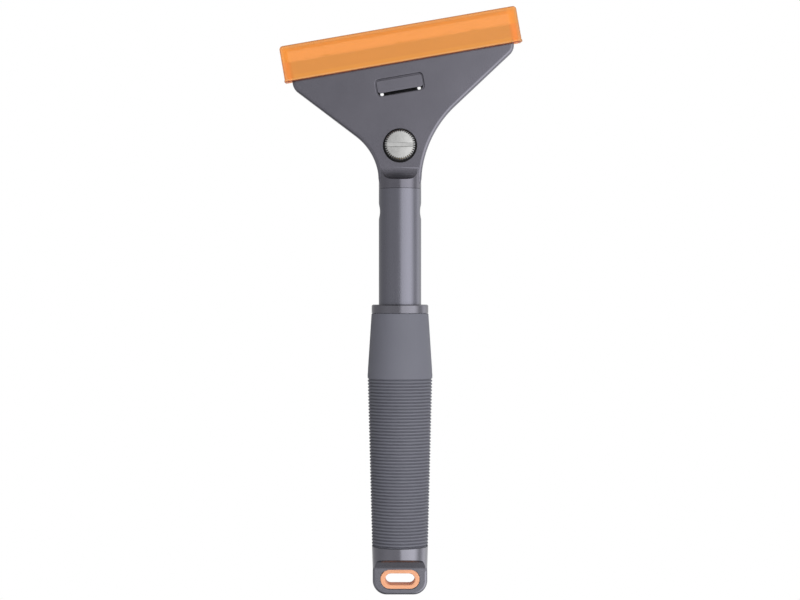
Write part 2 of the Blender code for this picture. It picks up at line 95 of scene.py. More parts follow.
def pick(piece, kind, test):
    # in edit mode, select the vertices, edges or faces that pass the test
    workOn(piece)
    bpy.ops.object.mode_set(mode="EDIT")
    bpy.ops.mesh.select_mode(type=kind)
    bpy.ops.mesh.select_all(action="DESELECT")
    mesh = bmesh.from_edit_mesh(piece.data)
    mesh.normal_update()
    elements = {"VERT": mesh.verts, "EDGE": mesh.edges, "FACE": mesh.faces}[kind]
    found = [element for element in elements if test(element)]
    for element in found:
        element.select_set(True)
    mesh.select_flush_mode()
    bmesh.update_edit_mesh(piece.data)
    return len(found)


def closeUp(piece):
    # merge doubles, then turn every face outwards
    editAll(piece)
    bpy.ops.mesh.remove_doubles(threshold=weldDistance)
    bpy.ops.mesh.dissolve_degenerate(threshold=weldDistance)
    bpy.ops.mesh.normals_make_consistent(inside=False)
    bpy.ops.object.mode_set(mode="OBJECT")
    return piece


def trace(name, points):
    # a chain of edges through the points, drawn by extruding one vertex
    selectNothing()
    bpy.ops.mesh.primitive_plane_add(size=0.01)
    piece = bpy.context.object
    piece.name = name
    piece.data.name = name
    bpy.ops.object.mode_set(mode="EDIT")
    bpy.ops.mesh.select_mode(type="VERT")
    bpy.ops.mesh.select_all(action="SELECT")
    bpy.ops.mesh.merge(type="CENTER")
    points = [Vector(point) for point in points]
    bpy.ops.transform.translate(value=points[0])
    for start, end in zip(points, points[1:]):
        bpy.ops.mesh.extrude_region_move(TRANSFORM_OT_translate={"value": end - start})
    return piece


def slab(name, outline, low, high, across="Y"):
    # a flat outline extruded along Y (outline in X, Z) or along X (outline in Y, Z)
    if across == "Y":
        piece = trace(name, [(a, low, b) for a, b in outline])
        push = (0, high - low, 0)
    else:
        piece = trace(name, [(low, a, b) for a, b in outline])
        push = (high - low, 0, 0)
    bpy.ops.mesh.select_all(action="SELECT")
    bpy.ops.mesh.edge_face_add()
    bpy.ops.mesh.extrude_region_move(TRANSFORM_OT_translate={"value": push})
    return closeUp(piece)


def turned(name, profile, steps, axis="Z"):
    # a (radius, height) profile spun about Z or Y; a profile that ends off the axis closes on its start
    points = list(profile)
    if points[0][0] > 0:
        points.append(points[0])
    if axis == "Z":
        piece = trace(name, [(radius, 0, height) for radius, height in points])
        around = (0, 0, 1)
    else:
        piece = trace(name, [(radius, height, 0) for radius, height in points])
        around = (0, 1, 0)
    bpy.ops.mesh.select_all(action="SELECT")
    bpy.ops.mesh.spin(steps=steps, angle=fullTurn, center=(0, 0, 0), axis=around)
    return closeUp(piece)


def move(piece, matrix):
    # move the mesh itself, so that the object stays at the origin
    workOn(piece)
    piece.matrix_world = matrix
    bpy.ops.object.transform_apply(location=True, rotation=True, scale=True)
    return piece


def cube(name, middle, size):
    selectNothing()
    bpy.ops.mesh.primitive_cube_add(size=1, location=middle, scale=size)
    piece = bpy.context.object
    piece.name = piece.data.name = name
    return move(piece, piece.matrix_world.copy())


def carve(piece, tool, operation="DIFFERENCE"):
    workOn(piece)
    cutter = piece.modifiers.new(tool.name, "BOOLEAN")
    cutter.operation = operation
    cutter.solver = "EXACT"
    cutter.object = tool
    bpy.ops.object.modifier_apply(modifier=cutter.name)
    bpy.data.objects.remove(tool, do_unlink=True)
    return piece


def roundEdges(piece, test, radius, segments=3):
    pick(piece, "EDGE", test)
    bpy.ops.mesh.bevel(
        offset=radius, offset_type="OFFSET", segments=segments, profile=0.5,
        affect="EDGES", clamp_overlap=False,
    )
    bpy.ops.object.mode_set(mode="OBJECT")


def addFinishes(piece, *finishes):
    for finish in finishes:
        piece.data.materials.append(finish)


def assignFinish(piece, test, index):
    pick(piece, "FACE", test)
    piece.active_material_index = index
    bpy.ops.object.material_slot_assign()
    bpy.ops.object.mode_set(mode="OBJECT")


def endsOf(edge):
    return [vert.co for vert in edge.verts]


def isSharp(edge, degrees=30):
    return len(edge.link_faces) == 2 and edge.calc_face_angle(0) > math.radians(degrees)


def finishPiece(piece, material, body, slot, *nodes):
    # smooth shading with flat faces kept flat, then what it is made of and what it stands for
    workOn(piece)
    bpy.ops.object.shade_smooth_by_angle(angle=smoothAngle, keep_sharp_edges=False)
    weighted = piece.modifiers.new("flatFaces", "WEIGHTED_NORMAL")
    weighted.keep_sharp = True
    bpy.ops.object.modifier_apply(modifier=weighted.name)
    if material:
        piece.data.materials.clear()
        piece.data.materials.append(material)
    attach(piece, body)
    if nodes:
        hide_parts(*nodes)
    selectNothing()
    return piece


def arcPoints(centre, radii, start, end, steps):
    # angles in degrees from the first axis towards the second
    points = []
    for step in range(steps + 1):
        angle = math.radians(start + (end - start) * step / steps)
        points.append((centre[0] + radii[0] * math.cos(angle), centre[1] + radii[1] * math.sin(angle)))
    return points


def rounded(corners):
    # outline through (point, radius, steps) corners, each turned into an arc
    outline = []
    for index, (corner, radius, steps) in enumerate(corners):
        here = Vector(corner)
        toLast = (Vector(corners[index - 1][0]) - here).normalized()
        toNext = (Vector(corners[(index + 1) % len(corners)][0]) - here).normalized()
        if radius == 0:
            outline.append(here)
            continue
        half = toLast.angle(toNext) / 2
        centre = here + (toLast + toNext).normalized() * radius / math.sin(half)
        start = here + toLast * radius / math.tan(half) - centre
        end = here + toNext * radius / math.tan(half) - centre
        sweep = start.angle_signed(end)
        for step in range(steps + 1):
            arm = start.copy()
            arm.rotate(Matrix.Rotation(-sweep * step / steps, 2))
            outline.append(centre + arm)
    return [(point[0], point[1]) for point in outline]


def rectangle(width, height, centre, radius, steps=6):
    x, z = centre
    signs = ((-1, -1), (1, -1), (1, 1), (-1, 1))
    corners = [((x + i * width / 2, z + j * height / 2), radius, steps) for i, j in signs]
    return rounded(corners)


def jointNamed(name):
    return next(joint for joint in frame["joints"] if joint["name"] == name)


def middleOf(node):
    low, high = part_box(node)
    return (low + high) / 2


# Places that several pieces share
pullAxis = Vector(jointNamed("blade_pull")["axis"])
bladeTilt = math.atan2(-pullAxis.x, pullAxis.z)
guardMiddle = middleOf("blade_guard")
guardShift = Vector((0.0002, 0, 0.0005))  # the guard's middle in the blade's frame
bladeFrame = (Matrix.Translation((guardMiddle.x, 0, guardMiddle.z)) @ Matrix.Rotation(-bladeTilt, 4, "Y")
              @ Matrix.Translation(-guardShift))
screwAxis = Vector((0, 0, middleOf("thumb_screw").z))
tubeRadius = (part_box("handle_tube")[1].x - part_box("handle_tube")[0].x) / 2
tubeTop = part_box("handle_tube")[1].z
crimpHeight = 0.1134


def fromBlade(u, v):
    point = bladeFrame @ Vector((u, 0, v))
    return point.x, point.z


def toBlade(x, z):
    point = bladeFrame.inverted() @ Vector((x, 0, z))
    return point.x, point.z


print("frame ready: blade tilted", round(math.degrees(bladeTilt), 2), "degrees")


# Finishes: node helpers first, for materials and for the world

def feed(tree, socket, value):
    # a socket takes another node's output or a constant
    if isinstance(value, bpy.types.NodeSocket):
        tree.links.new(value, socket)
    else:
        socket.default_value = value


def setInputs(tree, node, **inputs):
    for key, value in inputs.items():
        feed(tree, node.inputs[key.replace("_", " ")], value)


def addNode(tree, kind, settings=None, **inputs):
    node = tree.nodes.new(kind)
    for key, value in (settings or {}).items():
        setattr(node, key, value)
    setInputs(tree, node, **inputs)
    return node


def calculate(tree, operation, *values):
    node = addNode(tree, "ShaderNodeMath", {"operation": operation})
    for socket, value in zip(node.inputs, values):
        feed(tree, socket, value)
    return node.outputs[0]


def ranged(tree, value, start, end, low=0.0, high=1.0, kind="LINEAR"):
    # start..end becomes low..high, and what lies outside stays at the ends
    node = addNode(tree, "ShaderNodeMapRange", {"interpolation_type": kind}, Value=value,
                   From_Min=start, From_Max=end, To_Min=low, To_Max=high)
    return node.outputs["Result"]


def blend(tree, kind, factor, first, second):
    # the mix node keeps separate sockets for numbers and for colours
    node = addNode(tree, "ShaderNodeMix", {"data_type": kind})
    entry, way = {"FLOAT": (2, 0), "RGBA": (6, 2)}[kind]
    for index, value in ((0, factor), (entry, first), (entry + 1, second)):
        feed(tree, node.inputs[index], value)
    return node.outputs[way]


def ramp(tree, value, stops):
    # a colour ramp through (position, colour) stops
    node = addNode(tree, "ShaderNodeValToRGB", Fac=value)
    points = node.color_ramp.elements
    for point, (position, colour) in zip(points, (stops[0], stops[-1])):
        point.position = position
        point.color = (*colour, 1)
    for position, colour in stops[1:-1]:
        points.new(position).color = (*colour, 1)
    return node.outputs["Color"]


def ownPlace(tree):
    return addNode(tree, "ShaderNodeTexCoord").outputs["Object"]


def split(tree, vector):
    return addNode(tree, "ShaderNodeSeparateXYZ", Vector=vector).outputs


def noise(tree, scale, stretch=(1, 1, 1), detail=4.0, roughness=0.6):
    # noise on the object's own coordinates, drawn out along an axis where stretch is small
    mapping = addNode(tree, "ShaderNodeMapping", Vector=ownPlace(tree), Scale=stretch)
    cloud = addNode(tree, "ShaderNodeTexNoise", Vector=mapping.outputs["Vector"],
                    Scale=scale, Detail=detail, Roughness=roughness)
    return cloud.outputs["Fac"]


def drift(tree, scale, stretch=(1, 1, 1)):
    # slow, soft changes over a whole piece
    return noise(tree, scale, stretch, 3.0, 0.5)


# noise keeps to the middle of its range, so that part is spread over the whole
noiseLow, noiseHigh = 0.3, 0.7


def tint(tree, source, dark, light):
    return ramp(tree, source, ((noiseLow, dark), (noiseHigh, light)))


def spread(tree, source, low, high):
    return ranged(tree, source, noiseLow, noiseHigh, low, high)


def raised(tree, source, strength, distance):
    bump = addNode(tree, "ShaderNodeBump", Height=source, Strength=strength, Distance=distance)
    return bump.outputs["Normal"]


def newFinish(name):
    finish = bpy.data.materials.new(name)
    finish.use_nodes = True
    return finish, finish.node_tree, finish.node_tree.nodes["Principled BSDF"]


def coat(scale, height, stretch=(1, 1, 1)):
    # the grain and the drift that the smooth coats have in common
    return {"grain": (scale, stretch, 5.0), "drift": (60.0, stretch), "bump": (0.35, height)}


# each plain finish: its colours and gloss, and the scale and height of its grain
plainFinishes = {
    "castingPaint": {
        "colours": ((0.122, 0.119, 0.141), (0.138, 0.134, 0.158)),
        "roughness": (0.20, 0.27), "metallic": 0.9,
        **coat(1500.0, 0.000006),
    },
    "tubeCoating": {
        "colours": ((0.138, 0.138, 0.164), (0.152, 0.151, 0.180)),
        "roughness": (0.26, 0.33), "metallic": 0.92,
        **coat(900.0, 0.000003, (1, 1, 0.04)),
    },
    "gripHardPlastic": {
        "colours": ((0.138, 0.136, 0.158), (0.154, 0.152, 0.176)),
        "roughness": (0.17, 0.24), "metallic": 0.88,
        **coat(700.0, 0.000004),
    },
    # near black painted shade, put on faces that lie in shade: the screw recess floor, the knurl's valleys,
    # and the clamp's leg and inner face
    "paintedShadeBlack": {
        "colours": ((0.009, 0.009, 0.011), (0.016, 0.016, 0.019)),
        "roughness": (0.55, 0.70), "metallic": 0.1,
        **coat(1500.0, 0.000006),
    },
    "knurledSteel": {
        "colours": ((0.34, 0.34, 0.345), (0.46, 0.46, 0.465)),
        "roughness": (0.26, 0.36), "metallic": 1.0,
        **coat(1500.0, 0.000006),
    },
    "whiteCeramic": {
        "colours": ((0.82, 0.81, 0.78), (0.87, 0.86, 0.83)),
        "roughness": (0.20, 0.30),
        "grain": (2400.0, (1, 1, 0.05)), "drift": (120.0,), "bump": (0.2, 0.000003),
    },
    "ringPlastic": {
        "colours": ((0.73, 0.345, 0.19), (0.765, 0.37, 0.215)),
        "roughness": (0.48, 0.58), "specular": 0.2,
        "grain": (1700.0,), "drift": (130.0,), "bump": (0.15, 0.000006),
    },
    "turnedBrass": {
        "colours": ((0.56, 0.40, 0.16), (0.68, 0.50, 0.23)),
        "roughness": (0.24, 0.38), "metallic": 1.0,
        "grain": (1300.0, (1, 0.1, 1)), "drift": (260.0,), "bump": (0.3, 0.000004),
    },
}


def plainFinish(name):
    # fine grain in the height and the gloss, slow drifts in the colour
    spec = plainFinishes[name]
    finish, tree, shader = newFinish(name)
    grain = noise(tree, *spec["grain"])
    setInputs(
        tree, shader,
        Metallic=spec.get("metallic", 0.0),
        Base_Color=tint(tree, drift(tree, *spec["drift"]), *spec["colours"]),
        Roughness=spread(tree, grain, *spec["roughness"]),
        Normal=raised(tree, grain, *spec["bump"]),
    )
    if "specular" in spec:
        setInputs(tree, shader, Specular_IOR_Level=spec["specular"])
    return finish


# the corner of the neck's front scoop is made rougher, and a paler colour is blended in there as painted
# light that lifts the shade falling in that corner
scoopRougherAndPaintedLight = {
    "height": (0.1322, 0.1290),
    "foot": (0.1274, 0.1277),
    "round": (0.0094, 0.0090),
    "roughness": 0.14,
    "paint": (0.172, 0.168, 0.196, 1),
}


def makeCastingFinish(spec):
    finish = plainFinish("castingPaint")
    tree = finish.node_tree
    shader = tree.nodes["Principled BSDF"]
    place = ownPlace(tree)
    height = split(tree, place)["Z"]
    flat = addNode(tree, "ShaderNodeMapping", Vector=place, Scale=(1, 1, 0)).outputs["Vector"]
    fromAxis = addNode(tree, "ShaderNodeVectorMath", {"operation": "LENGTH"}, Vector=flat).outputs["Value"]
    share = ranged(tree, height, *spec["height"])
    for value, limits in ((height, "foot"), (fromAxis, "round")):
        share = calculate(tree, "MULTIPLY", share, ranged(tree, value, *spec[limits]))
    polish = shader.inputs["Roughness"].links[0].from_socket
    paint = shader.inputs["Base Color"].links[0].from_socket
    # painted light: the scoop corner is blended towards a paler colour to lift its shade
    setInputs(
        tree, shader,
        Roughness=calculate(tree, "MULTIPLY_ADD", share, spec["roughness"], polish),
        Base_Color=blend(tree, "RGBA", share, paint, spec["paint"]),
    )
    return finish


def makeSteelFinish():
    # nickel-bright steel, faced on a lathe: fine rings about the screw's own axis
    finish, tree, shader = newFinish("turnedSteel")
    centred = addNode(tree, "ShaderNodeMapping", Vector=ownPlace(tree), Location=-screwAxis)
    rings = addNode(tree, "ShaderNodeTexWave", {"wave_type": "RINGS", "rings_direction": "Y"},
                    Vector=centred.outputs["Vector"], Scale=900.0, Distortion=1.2, Detail=3.0,
                    Detail_Scale=2.0).outputs["Fac"]
    mottle = noise(tree, 420.0, roughness=0.5)
    setInputs(
        tree, shader,
        Metallic=1.0,
        Base_Color=tint(tree, mottle, (0.41, 0.41, 0.405), (0.48, 0.48, 0.475)),
        Roughness=spread(tree, rings, 0.24, 0.32),
        Normal=raised(tree, rings, 0.25, 0.0000015),
    )
    return finish


# the rubber's ribs are shared by its shape and its finish
gripSleeve = {
    "inner": 0.0113,
    "topRebate": 0.0122,
    "bottomRebate": 0.0118,
    "rebateDepth": 0.0007,
    "bellyHeight": 0.0400,
    "bellyTurn": 0.0012,
    "bellySoftness": 0.00004,
    "coneStart": 0.0430,
    "topRadius": 0.0128,
    "bellyRadius": 0.0146,
    "bottomRadius": 0.0126,
    "grooves": 53,
    "firstGroove": 0.03798,
    "pitch": 0.0014288,
    "depth": 0.00052,
    # (share of the pitch, share of the depth) across one groove
    "grooveShape": (
        (-0.5, 0.0), (-0.34, 0.06), (-0.25, 0.30), (-0.17, 0.80), (-0.10, 1.0),
        (0.10, 1.0), (0.17, 0.80), (0.25, 0.30), (0.34, 0.06),
    ),
    "edge": 0.00025,
    # the colour of the painted shade at the grooves' bottoms
    "grooveShadeColour": (0.045, 0.045, 0.058, 1),
}


def makeRubberFinish(spec):
    # soft grey rubber with a fine stippled mould surface, with painted shade darkening it down in its
    # grooves
    finish, tree, shader = newFinish("gripRubber")
    stipple = noise(tree, 2600.0)
    height = split(tree, ownPlace(tree))["Z"]
    fromGroove = calculate(tree, "SUBTRACT", height, spec["firstGroove"])
    wave = calculate(tree, "COSINE", calculate(tree, "MULTIPLY", fromGroove, fullTurn / spec["pitch"]))
    ribbed = calculate(tree, "LESS_THAN", height, spec["firstGroove"] + spec["pitch"] / 2)
    # painted shade: a wave on the groove pitch darkens each groove's bottom
    paintedGrooveShade = calculate(tree, "MULTIPLY", ranged(tree, wave, 0.1, 0.9, 0.0, 0.55, "SMOOTHSTEP"), ribbed)
    plain = tint(tree, drift(tree, 45.0, (1, 1, 0.5)), (0.130, 0.132, 0.160), (0.144, 0.146, 0.176))
    setInputs(
        tree, shader,
        Base_Color=blend(tree, "RGBA", paintedGrooveShade, plain, spec["grooveShadeColour"]),
        Roughness=spread(tree, stipple, 0.58, 0.70),
        Specular_IOR_Level=0.35,
        Normal=raised(tree, stipple, 0.25, 0.000008),
    )
    return finish


guardPlastic = {
    "heights": (-0.0079, 0.0089),
    # painted light and shade: a brown painted shadow at the mouth, a painted highlight along the lip and a
    # darker painted rim along the top
    "mouth": (0.14, 0.05, 0.025),
    "lip": (0.85, 0.48, 0.17),
    "rim": (0.34, 0.22, 0.07),
    # painted bands for the light and shade seen through the wall: above the jaw's edge, in front of the jaw
    # and low down; over the jaw and past its ends
    "overJaw": ((0.70, 0.32, 0.060), (0.75, 0.345, 0.082), (0.80, 0.375, 0.080)),
    "pastJaw": ((0.76, 0.35, 0.060), (0.76, 0.31, 0.066), (0.76, 0.31, 0.066)),
    "jawEnd": (0.0490, 0.0498),
    "rimStart": (0.0532, 0.0536),
    "passes": (1.0, 0.57, 0.40, 1),
    "ownColour": 0.49,
}


def makeGuardFinish(spec):
    # clear orange plastic: each surface shows half of its own colour and tints what lies behind it
    finish, tree, shader = newFinish("guardPlastic")
    swirl = drift(tree, 90.0, (0.35, 1, 1))
    haze = noise(tree, 1400.0)
    inward = bladeFrame.inverted()
    local = addNode(tree, "ShaderNodeMapping", Vector=ownPlace(tree),
                    Location=inward.translation, Rotation=inward.to_euler())
    along, _, up = split(tree, local.outputs["Vector"])
    height = ranged(tree, up, *spec["heights"])

    def heightBands(upper, jaw, low):
        # painted shadow at the mouth, painted highlight on the lip, painted bands for the wall below and
        # over the jaw, and a darker painted rim along the top
        return ramp(tree, height, (
            (0.0, spec["mouth"]),
            (0.034, spec["mouth"]),
            (0.048, spec["lip"]),
            (0.066, spec["lip"]),
            (0.088, low),
            (0.160, low),
            (0.185, jaw),
            (0.515, jaw),
            (0.535, upper),
            (0.948, upper),
            (0.972, spec["rim"]),
            (1.0, spec["rim"]),
        ))

    sideways = calculate(tree, "ABSOLUTE", along)
    pastJaw = ranged(tree, sideways, *spec["jawEnd"])
    colour = blend(tree, "RGBA", pastJaw, heightBands(*spec["overJaw"]), heightBands(*spec["pastJaw"]))
    # the ends' edges get the darker painted rim too
    colour = blend(tree, "RGBA", ranged(tree, sideways, *spec["rimStart"]), colour, (*spec["rim"], 1))
    shade = addNode(tree, "ShaderNodeVectorMath", {"operation": "MULTIPLY"})
    feed(tree, shade.inputs[0], colour)
    feed(tree, shade.inputs[1], ranged(tree, swirl, 0.0, 1.0, 0.95, 1.03))
    setInputs(
        tree, shader,
        Base_Color=shade.outputs["Vector"],
        Roughness=spread(tree, haze, 0.14, 0.20),
        Specular_IOR_Level=0.35,
        Normal=raised(tree, swirl, 0.12, 0.00003),
    )
    through = addNode(tree, "ShaderNodeBsdfTransparent", Color=spec["passes"])
    both = addNode(tree, "ShaderNodeMixShader", Fac=spec["ownColour"])
    feed(tree, both.inputs[1], through.outputs[0])
    feed(tree, both.inputs[2], shader.outputs[0])
    setInputs(tree, tree.nodes["Material Output"], Surface=both.outputs[0])
    return finish


castingFinish = makeCastingFinish(scoopRougherAndPaintedLight)
tubeFinish = plainFinish("tubeCoating")
coreFinish = plainFinish("gripHardPlastic")
paintedShadeFinish = plainFinish("paintedShadeBlack")
knurlFinish = plainFinish("knurledSteel")
steelFinish = makeSteelFinish()
rubberFinish = makeRubberFinish(gripSleeve)
guardFinish = makeGuardFinish(guardPlastic)
ceramicFinish = plainFinish("whiteCeramic")
ringFinish = plainFinish("ringPlastic")
brassFinish = plainFinish("turnedBrass")

print("finishes ready")


# Head casting
headCasting = {
    "front": -0.0045,
    "halfWidth": 0.0504,
    "jawTop": 0.00136,
    "jawBevel": 0.0053,
    "jawLip": 0.0006,
    "bladeThickness": 0.0008,
    "seatShoulder": -0.0088,
    "leftSlope": math.radians(52.9),
    "rightSlope": math.radians(46.7),
    "leftCorner": -0.0109,
    "rightCorner": -0.0104,
    "cornerRadius": 0.0055,
    "leftNeckArc": 0.0257,
    "rightNeckArc": 0.0488,
    "frontRim": 0.0015,
    "backRim": 0.0006,
    "footLow": 0.1248,
    "footHigh": 0.1290,
    "footHalfWidth": 0.0089,
    "lugs": (0.0335, 0.0, -0.0335),
    "lugShape": ((0.0009, 0.0), (0.0006, 0.0008), (-0.0006, 0.0008), (-0.0009, 0.0)),
    "spigotInset": 0.0015,
    "spigotEdge": 0.0006,
    "grooveDepth": 0.0009,
    "grooveHalf": 0.0036,
    "neckTopDrop": 0.0008,
    "neckEdge": 0.0001,
    "scoopFront": (0.1275, 0.1345),
    "scoopBack": (0.1262, 0.1335),
    "scoopHair": 0.00006,
    "scoopRim": (0.1255, 0.1325),
    "scoopRound": 0.00025,
    "windowSize": (0.0218, 0.0078),
    "windowCorner": 0.0018,
    "windowRound": 0.00028,
    "windowCentre": (-0.0032, -0.0171),
    "ledgeBottom": -0.0174,
    "ledgeFront": -0.0023,
    "recessRadius": 0.0075,
    "recessRound": 0.00025,
    "bushHole": 0.0053,
    "seam": 0.0003,
    "neckSeam": 0.00005,
}


def headOutline(spec):
    left = fromBlade(-spec["halfWidth"], spec["leftCorner"])
    right = fromBlade(spec["halfWidth"], spec["rightCorner"])
    neckLeft = left[1] - (abs(left[0]) - tubeRadius) / math.tan(spec["leftSlope"])
    neckRight = right[1] - (abs(right[0]) - tubeRadius) / math.tan(spec["rightSlope"])
    lugs = []
    for middle in spec["lugs"]:
        for along, rise in spec["lugShape"]:
            lugs.append((fromBlade(middle + along, spec["jawTop"] + rise), 0, 0))
    corners = [
        ((-tubeRadius, tubeTop), 0, 0),
        ((tubeRadius, tubeTop), 0, 0),
        ((tubeRadius, neckRight), spec["rightNeckArc"], 36),
        (right, spec["cornerRadius"], 14),
        (fromBlade(spec["halfWidth"], spec["jawTop"]), 0, 0),
        *lugs,
        (fromBlade(-spec["halfWidth"], spec["jawTop"]), 0, 0),
        (left, spec["cornerRadius"], 14),
        ((-tubeRadius, neckLeft), spec["leftNeckArc"], 30),
    ]
    upper = [point for point in rounded(corners) if point[1] > spec["footHigh"]]
    # the plate's foot widens out of the round neck
    right = []
    left = []
    footSteps = 5
    for step in range(footSteps + 1):
        share = step / footSteps
        ease = math.sin(share * math.pi / 2)
        z = spec["footLow"] + (spec["footHigh"] - spec["footLow"]) * share
        right.append((spec["footHalfWidth"] + (upper[0][0] - spec["footHalfWidth"]) * ease, z))
        left.append((-spec["footHalfWidth"] + (upper[-1][0] + spec["footHalfWidth"]) * ease, z))
    return right + upper[1:-1] + left[::-1]


def neckScoop(name, side, face, bottom, top):
    # a cutter that sweeps from the neck's round to the flat of the plate
    headroom = 0.012
    halfWidth = 0.013
    reach = tubeRadius + 0.0002
    depth = reach - abs(face) if face * side > 0 else reach + abs(face)
    curve = arcPoints((side * reach, top), (depth, top - bottom), 270, 180 if side > 0 else 360, 16)
    outer = side * (reach + 0.004)
    outline = [*curve, (face, top + headroom), (outer, top + headroom), (outer, bottom)]
    return slab(name, outline, -halfWidth, halfWidth, "X")


def makeHeadCasting(spec):
    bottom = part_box("head_body")[0].z
    front = spec["front"]
    back = spec["bladeThickness"] / 2
    neckLow = tubeTop + spec["neckSeam"]
    neckTop = screwAxis.z - spec["neckTopDrop"]
    spigot = tubeRadius - spec["spigotInset"]
    groove = spigot - spec["grooveDepth"]
    edge = spec["spigotEdge"]
    piece = turned("headCasting", [
        (0, bottom),
        (spigot - edge, bottom),
        (spigot, bottom + edge),
        (spigot, crimpHeight - spec["grooveHalf"] - edge),
        (groove, crimpHeight - spec["grooveHalf"]),
        (groove, crimpHeight + spec["grooveHalf"]),
        (spigot, crimpHeight + spec["grooveHalf"] + edge),
        (spigot, neckLow),
        (tubeRadius - spec["neckEdge"], neckLow),
        (tubeRadius, neckLow + spec["neckEdge"]),
        (tubeRadius, neckTop),
        (0, neckTop),
    ], 128)
    hair = spec["scoopHair"]
    carve(piece, neckScoop("frontScoop", -1, front + hair, *spec["scoopFront"]))
    carve(piece, neckScoop("backScoop", 1, back - hair, *spec["scoopBack"]))

    plate = slab("headPlate", headOutline(spec), front, back)

    def onRim(edge, face):
        ends = endsOf(edge)
        if not all(abs(end.y - face) < closely for end in ends):
            return False
        heights = [toBlade(end.x, end.z)[1] for end in ends]
        onJaw = all(height > spec["jawTop"] - roughly for height in heights)
        onFoot = all(abs(end.z - spec["footLow"]) < roughly for end in ends)
        return not onJaw and not onFoot and isSharp(edge, 60)

    roundEdges(plate, lambda edge: onRim(edge, front), spec["frontRim"], 8)
    roundEdges(plate, lambda edge: onRim(edge, back), spec["backRim"], 4)
    carve(piece, plate, "UNION")

    # blade seat behind the jaw and the jaw's long bevel
    reach = spec["halfWidth"] + 3 * clear
    jawBack = -spec["bladeThickness"] / 2 - spec["seam"]
    seat = slab(
        "bladeSeat",
        [(-reach, spec["seatShoulder"]), (reach, spec["seatShoulder"]), (reach, 0.02), (-reach, 0.02)],
        jawBack,
        0.01,
    )
    carve(piece, move(seat, bladeFrame))
    slope = spec["jawBevel"] / (jawBack - spec["jawLip"] - front)
    bevelTool = slab("jawBevel", [
        (front - clear, spec["jawTop"] - spec["jawBevel"] - clear * slope),
        (jawBack - spec["jawLip"], spec["jawTop"]),
        (jawBack - spec["jawLip"], spec["jawTop"] + 4 * clear),
        (front - clear, spec["jawTop"] + 4 * clear),
    ], -reach, reach, "X")
    carve(piece, move(bevelTool, bladeFrame))

    # window: a pocket for the clamp's tongue with a slot through its lower half
    width, height = spec["windowSize"]
    pocket = slab("windowPocket", rectangle(width, height, spec["windowCentre"], spec["windowCorner"]),
                  front - clear, spec["ledgeFront"])
    carve(piece, move(pocket, bladeFrame))
    u, v = spec["windowCentre"]

    def onWindow(edge):
        for vert in edge.verts:
            x, z = toBlade(vert.co.x, vert.co.z)
            inside = abs(x - u) < width / 2 + 4 * roughly and abs(z - v) < height / 2 + 4 * roughly
            if abs(vert.co.y - front) > nearly or not inside:
                return False
        return isSharp(edge, 60)

    roundEdges(piece, onWindow, spec["windowRound"], 3)
    low = v - height / 2 + spec["seam"]
    halfSlot = width / 2 - 2 * spec["seam"]
    corner = spec["windowCorner"]
    slotOutline = rounded([
        ((u - halfSlot, low), corner, 6),
        ((u + halfSlot, low), corner, 6),
        ((u + halfSlot, spec["ledgeBottom"]), 0, 0),
        ((u - halfSlot, spec["ledgeBottom"]), 0, 0),
    ])
    carve(piece, move(slab("windowSlot", slotOutline, spec["ledgeFront"] - clear, 2 * clear), bladeFrame))

    # counterbore and bush hole for the thumb screw, then the blind holes of the three blade pins
    bore = turned("screwBore", [
        (0, front - clear),
        (spec["recessRadius"], front - clear),
        (spec["recessRadius"], spec["ledgeFront"]),
        (spec["bushHole"], spec["ledgeFront"]),
        (spec["bushHole"], back + clear),
        (0, back + clear),
    ], 90, "Y")
    carve(piece, move(bore, Matrix.Translation(screwAxis)))

    def onBore(edge):
        for vert in edge.verts:
            away = math.hypot(vert.co.x, vert.co.z - screwAxis.z)
            if abs(vert.co.y - front) > nearly or abs(away - spec["recessRadius"]) > nearly:
                return False
        return isSharp(edge, 60)

    roundEdges(piece, onBore, spec["recessRound"], 3)
    for side in ("left", "middle", "right"):
        pinLow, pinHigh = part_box("blade_pin_" + side)
        pinMiddle = (pinLow + pinHigh) / 2
        radius = (pinHigh.x - pinLow.x) / 2 + spec["seam"]
        depth = pinLow.y - spec["seam"]
        hole = turned("pinHole", [(0, depth), (radius, depth), (radius, clear), (0, clear)], 32, "Y")
        carve(piece, move(hole, Matrix.Translation((pinMiddle.x, 0, pinMiddle.z))))
    closeUp(piece)

    def onScoopRim(edge):
        ends = endsOf(edge)
        onTube = all(abs(math.hypot(end.x, end.y) - tubeRadius) < nearly for end in ends)
        low, high = spec["scoopRim"]
        return onTube and all(low < end.z < high for end in ends) and isSharp(edge, 40)

    roundEdges(piece, onScoopRim, spec["scoopRound"], 2)
    closeUp(piece)
    # the floor of the screw's recess is painted black, as painted shade inside the recess
    addFinishes(piece, castingFinish, paintedShadeFinish)

    def onFloor(face):
        atLedge = all(abs(corner.co.y - spec["ledgeFront"]) < closely for corner in face.verts)
        return atLedge and face.calc_center_median().z < screwAxis.z + spec["recessRadius"]

    assignFinish(piece, onFloor, 1)
    return finishPiece(piece, None, "handle", "casting", "head_body")


head = makeHeadCasting(headCasting)
print("head casting", len(head.data.polygons), "faces")


# Tube
handleTube = {
    "wall": 0.0012,
    "edge": 0.00006,
    "crimpBand": 0.0045,
    "crimpReach": 0.0040,
    "crimpDepth": 0.00062,
}


